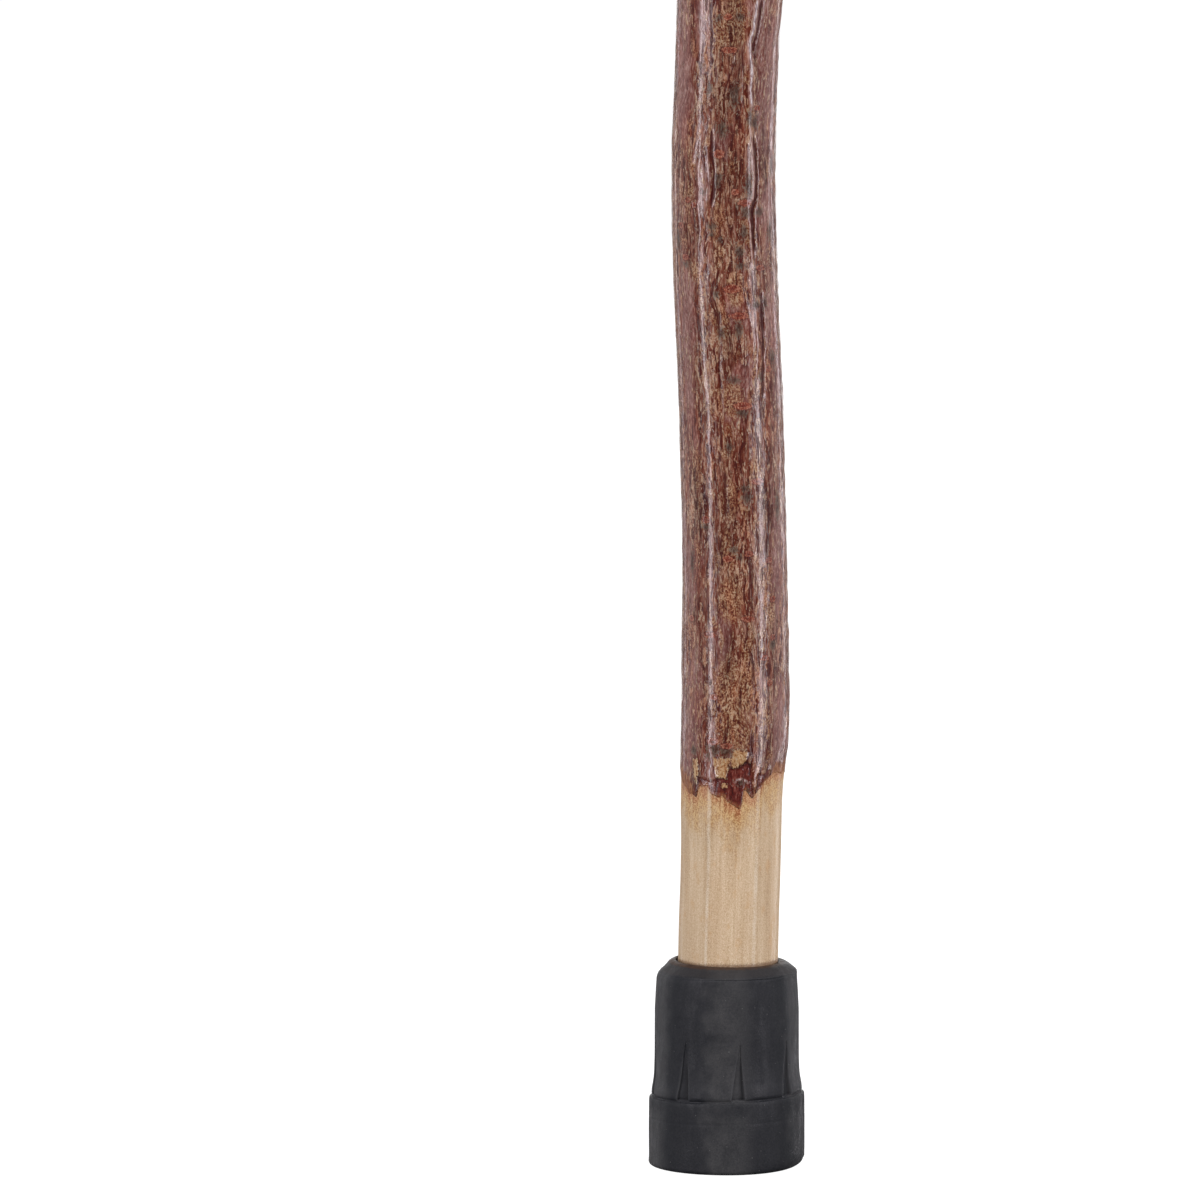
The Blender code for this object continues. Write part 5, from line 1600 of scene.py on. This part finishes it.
def root_material():
    t = Tree("root_handle_wood", Coat_Weight=0.62, Coat_Roughness=0.19, Coat_IOR=1.5,
             Specular_IOR_Level=0.3)
    pos = t.attribute("gpos")
    cut, rings, hollow = t.split(t.attribute("ends"))
    bend = t.vector("SUBTRACT", t.noise(t.vector("MULTIPLY", pos, (0.07, 0.07, 0.03)),
                                        1.0, 2.0, 0.5, colour=True), (0.5, 0.5, 0.5))
    pos = t.vector("ADD", pos, t.vector("MULTIPLY", bend, (9.0, 9.0, 16.0)))
    x, y, z = t.split(pos)
    radius = t.vector("LENGTH", t.join(x, y, 0.0))
    swirl = t.noise(t.vector("MULTIPLY", pos, (0.06, 0.06, 0.018)), 1.0, 2.0, 0.5)
    year = t.math("SINE", t.math("MULTIPLY", t.math("MULTIPLY_ADD", swirl, 16.0, radius), 4.6))
    fine = t.noise(t.vector("MULTIPLY", pos, (2.0, 2.0, 0.07)), 1.0, 4.0, 0.62)
    streak = t.noise(t.vector("MULTIPLY", pos, (0.5, 0.5, 0.022)), 1.0, 3.0, 0.55)
    blotch = t.noise(t.vector("MULTIPLY", pos, (0.055, 0.055, 0.03)), 1.0, 3.0, 0.55)
    speck = t.noise(t.vector("MULTIPLY", pos, (3.0, 3.0, 1.2)), 1.0, 2.0, 0.6)
    f = t.math("MULTIPLY_ADD", streak, 0.42, t.math("MULTIPLY", fine, 0.22))
    f = t.math("MULTIPLY_ADD", year, 0.022, f)
    f = t.math("MULTIPLY_ADD", blotch, 0.30, f)
    f = t.math("MULTIPLY_ADD", speck, 0.06, f)
    wood = t.ramp(f, [(0.35, seen("6e4122")), (0.44, seen("905c31")), (0.50, seen("aa7441")),
                      (0.56, seen("bb8751")), (0.66, seen("cfa26b"))])
    bark_left = t.math("MULTIPLY_ADD", t.math("SUBTRACT", streak, 0.5), 1.5, hollow)
    dark = t.step(bark_left, 0.34, 0.75)
    wood = t.mix(t.math("MULTIPLY", dark, 0.85), wood,
                 t.ramp(fine, [(0.38, seen("2c150c")), (0.5, seen("51291a")),
                               (0.62, seen("75452c"))]))
    uneven = t.step(t.noise(pos, 0.10, 2.0, 0.5), 0.3, 0.7, 0.74, 1.26)
    ring = t.math("SINE", t.math("MULTIPLY_ADD", t.noise(pos, 0.25, 3.0, 0.6), 12.0,
                                 t.math("MULTIPLY", t.math("MULTIPLY", rings, uneven), 5.2)))
    ring = t.math("MULTIPLY", ring, t.step(t.noise(pos, 0.35, 2.0, 0.5), 0.38, 0.62, 0.12, 0.5))
    ring = t.math("MULTIPLY_ADD", t.math("SUBTRACT", speck, 0.5), 1.2, ring)
    end = t.ramp(t.math("MULTIPLY_ADD", ring, 0.6, 0.5), [
        (0.0, seen("805029")), (0.45, seen("a37042")), (1.0, seen("bb8955"))])
    pith = t.step(rings, 1.1, 0.5)
    end = t.mix(pith, end, seen("4a2412"))
    wood = t.mix(cut, wood, end)
    t.out("Base Color", wood)
    t.out("Roughness", t.step(f, 0.4, 0.6, 0.5, 0.38))
    height = t.math("MULTIPLY_ADD", fine, 0.8, t.math("MULTIPLY", streak, 0.6))
    t.out("Normal", t.bump(height, 0.00010))
    t.out("Coat Normal", t.bump(height, 0.00010, 0.35))
    return t.mat


def knot_material(dark):
    t = Tree("knot_dark" if dark else "knot_pale", Coat_Weight=0.7 if dark else 0.38,
             Coat_Roughness=0.16 if dark else 0.30, Specular_IOR_Level=0.3 if dark else 0.2)
    pos = t.attribute("fpos")
    x, y, q = t.split(pos)
    radius = t.vector("LENGTH", t.join(x, y, 0.0))
    fine = t.noise(pos, 2.4, 4.0, 0.62)
    wave = t.noise(pos, 0.5, 2.0, 0.5)
    if dark:
        folds = t.math("SINE", t.math("MULTIPLY_ADD", wave, 13.0,
                                      t.math("MULTIPLY", radius, 4.6)))
        f = t.math("MULTIPLY_ADD", folds, 0.07, fine)
        f = t.math("MULTIPLY_ADD", t.step(q, 0.50, 0.34), 0.07, f)
        f = t.math("MULTIPLY_ADD", t.math("MULTIPLY", t.step(q, 0.52, 0.60),
                                          t.step(q, 0.84, 0.74)), -0.12, f)
        colour = t.ramp(f, [(0.36, seen("241c1a")), (0.48, seen("493f3b")),
                            (0.57, seen("7f7571")), (0.68, seen("b3aba6"))])
        colour = t.mix(t.math("MULTIPLY", t.step(q, 0.80, 0.96), 0.85), colour,
                       t.ramp(fine, [(0.4, seen("7c5148")), (0.6, seen("b38d82"))]))
        corner = t.step(x, 1.4, 3.0)
        colour = t.mix(t.math("MULTIPLY", corner, 0.8), colour, seen("6a241a"))
    else:
        year = t.math("SINE", t.math("MULTIPLY_ADD", wave, 3.5,
                                     t.math("MULTIPLY", radius, 9.5)))
        f = t.math("MULTIPLY_ADD", year, 0.06, fine)
        colour = t.ramp(f, [(0.34, seen("805a40")), (0.48, seen("9f7656")),
                            (0.60, seen("b18b69")), (0.72, seen("c3a07e"))])
        ragged = t.math("MULTIPLY_ADD", t.math("SUBTRACT", fine, 0.5), 0.30, q)
        colour = t.mix(t.math("MULTIPLY", t.step(ragged, 0.74, 1.0), 0.85), colour,
                       seen("74483a"))
        colour = t.mix(t.math("MULTIPLY", t.step(radius, 0.75, 0.25), 0.7), colour,
                       seen("6f482f"))
    t.out("Base Color", colour)
    t.out("Roughness", t.step(fine, 0.4, 0.6, 0.4, 0.55))
    t.out("Normal", t.bump(fine, 0.00012))
    return t.mat


def rubber_material():
    t = Tree("rubber", Specular_IOR_Level=0.17)
    n = t.nodes.new("ShaderNodeTexCoord")
    pos = t.vector("SCALE", n.outputs["Object"], 1000.0)
    mottle = t.noise(pos, 0.22, 3.0, 0.55)
    fine = t.noise(pos, 1.6, 3.0, 0.6)
    scuff = t.noise(t.vector("MULTIPLY", pos, (0.5, 0.5, 0.10)), 1.0, 3.0, 0.6)
    grit = t.noise(pos, 4.2, 2.0, 0.6)
    f = t.math("MULTIPLY_ADD", fine, 0.34, t.math("MULTIPLY", mottle, 0.34))
    f = t.math("MULTIPLY_ADD", grit, 0.32, f)
    colour = t.ramp(f, [(0.40, (0.0280, 0.0288, 0.0305, 1)), (0.50, (0.0385, 0.0392, 0.0405, 1)),
                        (0.60, (0.0490, 0.0490, 0.0490, 1))])
    # painted shade and sheen: a bluish dark in broad upright stretches, lighter stretches between,
    # and dark all round at the top of the band, under the shoulder
    x, y, z = t.split(pos)
    round_it = t.math("ARCTAN2", x, t.math("MULTIPLY", y, -1.0))
    wave = t.math("MULTIPLY_ADD", round_it, 5.0,
                  t.math("MULTIPLY", t.math("SUBTRACT", mottle, 0.5), 2.0))
    painted_shade = t.math("MULTIPLY_ADD", t.math("COSINE", wave), -0.5, 0.5)
    painted_shade = t.math("MULTIPLY_ADD", t.math("SUBTRACT", fine, 0.5), 0.5, painted_shade)
    painted_shade = t.step(painted_shade, 0.08, 0.80)
    painted_shade = t.math("MAXIMUM", painted_shade, t.math(
        "MULTIPLY", t.math("MULTIPLY", t.step(z, 13.2, 15.8), t.step(z, 18.6, 17.6)), 0.62))
    blue = t.ramp(f, [(0.40, (0.0088, 0.0098, 0.0125, 1)), (0.50, (0.0122, 0.0134, 0.0164, 1)),
                      (0.60, (0.0175, 0.0185, 0.0215, 1))])
    colour = t.mix(t.math("MULTIPLY", painted_shade, 0.92), colour, blue)
    # brown wood dust on the top edge
    brown = t.math("MULTIPLY_ADD", t.math("SUBTRACT", fine, 0.5), 1.2, z)
    colour = t.mix(t.math("MULTIPLY", t.step(brown, 48.3, 49.1), 0.55), colour,
                   (0.0330, 0.0300, 0.0290, 1))
    colour = t.mix(t.math("MULTIPLY", t.step(brown, 50.45, 50.85), 0.8), colour,
                   (0.050, 0.026, 0.015, 1))
    # painted shade: the right flank is darkened, fully low on the ferrule and about a third as much
    # higher up
    flank = t.math("MULTIPLY", t.step(t.math("SINE", round_it), 0.50, 0.95),
                   t.step(z, 24.0, 15.0, 0.35, 1.0))
    colour = t.mix(t.math("MULTIPLY", flank, 0.75), colour,
                   t.mix(1.0, colour, (0.52, 0.53, 0.55, 1), "MULTIPLY"))
    # painted highlight on the notches' edges and painted shade in their floors
    painted_edge_highlight, painted_notch_shade, _ = t.split(t.attribute("painted_light"))
    colour = t.mix(t.math("MULTIPLY", painted_edge_highlight, 0.70), colour, (0.060, 0.061, 0.064, 1))
    colour = t.mix(t.math("MULTIPLY", painted_notch_shade, 0.70), colour, (0.0070, 0.0072, 0.0082, 1))
    dust = t.cells(t.vector("ADD", pos, (3.3, 1.7, 5.2)), 0.60)
    size = t.noise(pos, 0.9, 2.0, 0.5)
    speck = t.step(t.math("MULTIPLY_ADD", size, 0.20, dust), 0.158, 0.136)
    colour = t.mix(t.math("MULTIPLY", speck, 0.8), colour, (0.12, 0.12, 0.115, 1))
    t.out("Base Color", colour)
    t.out("Roughness", t.step(t.math("MULTIPLY_ADD", scuff, 0.5,
                                     t.math("MULTIPLY", mottle, 0.5)), 0.38, 0.62, 0.46, 0.66))
    height = t.math("MULTIPLY_ADD", fine, 0.5, t.math("MULTIPLY", scuff, 0.6))
    t.out("Normal", t.bump(height, 0.00010))
    return t.mat


def steel_material():
    t = Tree("brushed_steel", Metallic=1.0)
    n = t.nodes.new("ShaderNodeTexCoord")
    pos = t.vector("SCALE", n.outputs["Object"], 1000.0)
    brushed = t.noise(t.vector("MULTIPLY", pos, (0.5, 7.0, 2.0)), 1.0, 4.0, 0.6)
    dull = t.noise(pos, 0.35, 3.0, 0.55)
    t.out("Base Color", t.ramp(t.math("MULTIPLY_ADD", dull, 0.6, t.math("MULTIPLY", brushed, 0.4)), [
        (0.36, (0.34, 0.335, 0.33, 1)), (0.52, (0.55, 0.56, 0.57, 1)),
        (0.66, (0.66, 0.66, 0.65, 1))]))
    t.out("Roughness", t.step(brushed, 0.35, 0.65, 0.26, 0.44))
    t.out("Normal", t.bump(brushed, 0.00004))
    return t.mat


# ---------------------------------------------------------------------------
# stage, lights, camera
# ---------------------------------------------------------------------------
def glow_material(name, colour, strength, diffuse=0.0):
    mat = bpy.data.materials.new(name)
    mat.use_nodes = True
    shader = mat.node_tree.nodes["Principled BSDF"]
    shader.inputs["Base Color"].default_value = (diffuse, diffuse, diffuse, 1)
    shader.inputs["Roughness"].default_value = 0.9
    shader.inputs["Specular IOR Level"].default_value = 0.0
    shader.inputs["Emission Color"].default_value = (*colour, 1)
    shader.inputs["Emission Strength"].default_value = strength
    return mat


def build_stage():
    n = 96
    ang = np.arange(n) * 2 * math.pi / n
    ring = np.stack([np.cos(ang) * 28, np.sin(ang) * 28, 0 * ang - 0.0002], -1)
    verts = np.concatenate([ring, [[0, 0, -0.0002]]])
    k = np.arange(n)
    floor = make_object("studio_floor", verts, None,
                        np.stack([k, (k + 1) % n, np.full(n, n)], -1), False)
    floor.data.materials.append(glow_material("pale_floor", (1, 1, 1), 1.0, 0.25))
    floor.visible_diffuse = floor.visible_glossy = floor.visible_transmission = False
    rows, cols = 24, 48
    lat = np.linspace(-0.12, 1.52, rows)
    lon = np.arange(cols) * 2 * math.pi / cols
    la, lo = np.meshgrid(lat, lon, indexing="ij")
    dome = np.stack([np.cos(la) * np.cos(lo), np.cos(la) * np.sin(lo), np.sin(la)], -1)
    sky = make_object("studio_backdrop", dome.reshape(-1, 3) * 27,
                      grid_quads(rows, cols), None)
    sky.data.materials.append(glow_material("white_backdrop", (1, 1, 1), 1.03))
    sky.visible_diffuse = sky.visible_glossy = sky.visible_transmission = False
    sky.visible_shadow = sky.visible_volume_scatter = False

    world = bpy.data.worlds.new("studio")
    world.use_nodes = True
    back = world.node_tree.nodes["Background"]
    back.inputs[0].default_value = (1, 1, 1, 1)
    back.inputs[1].default_value = 0.16
    bpy.context.scene.world = world

    def panel(name, azimuth, distance, width, height, z, radiance, tint):
        light = bpy.data.lights.new(name, "AREA")
        light.shape = "RECTANGLE"
        light.size, light.size_y = width, height
        light.energy = radiance * math.pi * width * height
        light.color = tint
        obj = bpy.data.objects.new(name, light)
        bpy.context.scene.collection.objects.link(obj)
        a = math.radians(azimuth)
        obj.location = (math.sin(a) * distance, -math.cos(a) * distance, z)
        aim = Vector((0, 0, 0.45)) - obj.location
        obj.rotation_euler = aim.to_track_quat("-Z", "Y").to_euler()
        obj.visible_camera = False
        return obj

    cool = (0.985, 0.94, 1.0)
    panel("softbox_right", 58, 1.5, 0.42, 1.9, 0.55, 12.8, cool)
    panel("softbox_left", -52, 1.5, 0.42, 1.9, 0.55, 12.8, cool)
    panel("softbox_back_right", 135, 1.7, 0.13, 1.9, 0.55, 9.0, cool)
    panel("softbox_back_left", -137, 1.7, 0.13, 1.9, 0.55, 5.0, cool)
    panel("screen_right", 104, 1.7, 1.1, 1.9, 0.55, 0.95, (0.95, 0.97, 1.0))
    panel("screen_left", -104, 1.7, 1.1, 1.9, 0.55, 0.85, (0.95, 0.97, 1.0))
    panel("screen_back", 180, 2.4, 1.5, 2.2, 0.7, 1.7, (1, 1, 1))
    panel("softbox_above", 20, 0.9, 1.3, 1.3, 2.3, 1.6, (1, 1, 1))


def build_camera():
    data = bpy.data.cameras.new("camera")
    data.sensor_width = 36.0
    data.lens = LENS
    data.clip_start, data.clip_end = 0.05, 120.0
    cam = bpy.data.objects.new("camera", data)
    bpy.context.scene.collection.objects.link(cam)
    cam.location = EYE
    aim = Vector(AIM) - cam.location
    cam.rotation_euler = aim.to_track_quat("-Z", "Y").to_euler()
    bpy.context.scene.camera = cam


# ---------------------------------------------------------------------------
scene = bpy.context.scene
scene.view_settings.view_transform = "Standard"
scene.view_settings.look = "None"

build_stage()
build_camera()

bark = build_bark()
bark.data.materials.append(bark_material())
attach(bark, "cane")
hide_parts("bark_sleeve")

wood = build_wood()
wood.data.materials.append(tip_material())
wood.data.materials.append(root_material())
heights = np.zeros(len(wood.data.polygons) * 3, np.float32)
wood.data.polygons.foreach_get("center", heights)
wood.data.polygons.foreach_set(
    "material_index", (heights.reshape(-1, 3)[:, 2] > 0.5).astype(np.int32))
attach(wood, "cane")
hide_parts("stem_and_root")

pale, dark = knot_material(False), knot_material(True)
for spec in KNOTS:
    knot = build_knot(spec)
    is_dark = spec[0] == "branch_knot_2"
    knot.data.materials.append(dark if is_dark else pale)
    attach(knot, "cane")
    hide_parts(spec[0])

ferrule = build_ferrule()
ferrule.data.materials.append(rubber_material())
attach(ferrule, "ferrule")
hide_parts("rubber_ferrule")

washer = build_washer()
washer.data.materials.append(steel_material())
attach(washer, "ferrule")
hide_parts("ferrule_washer")
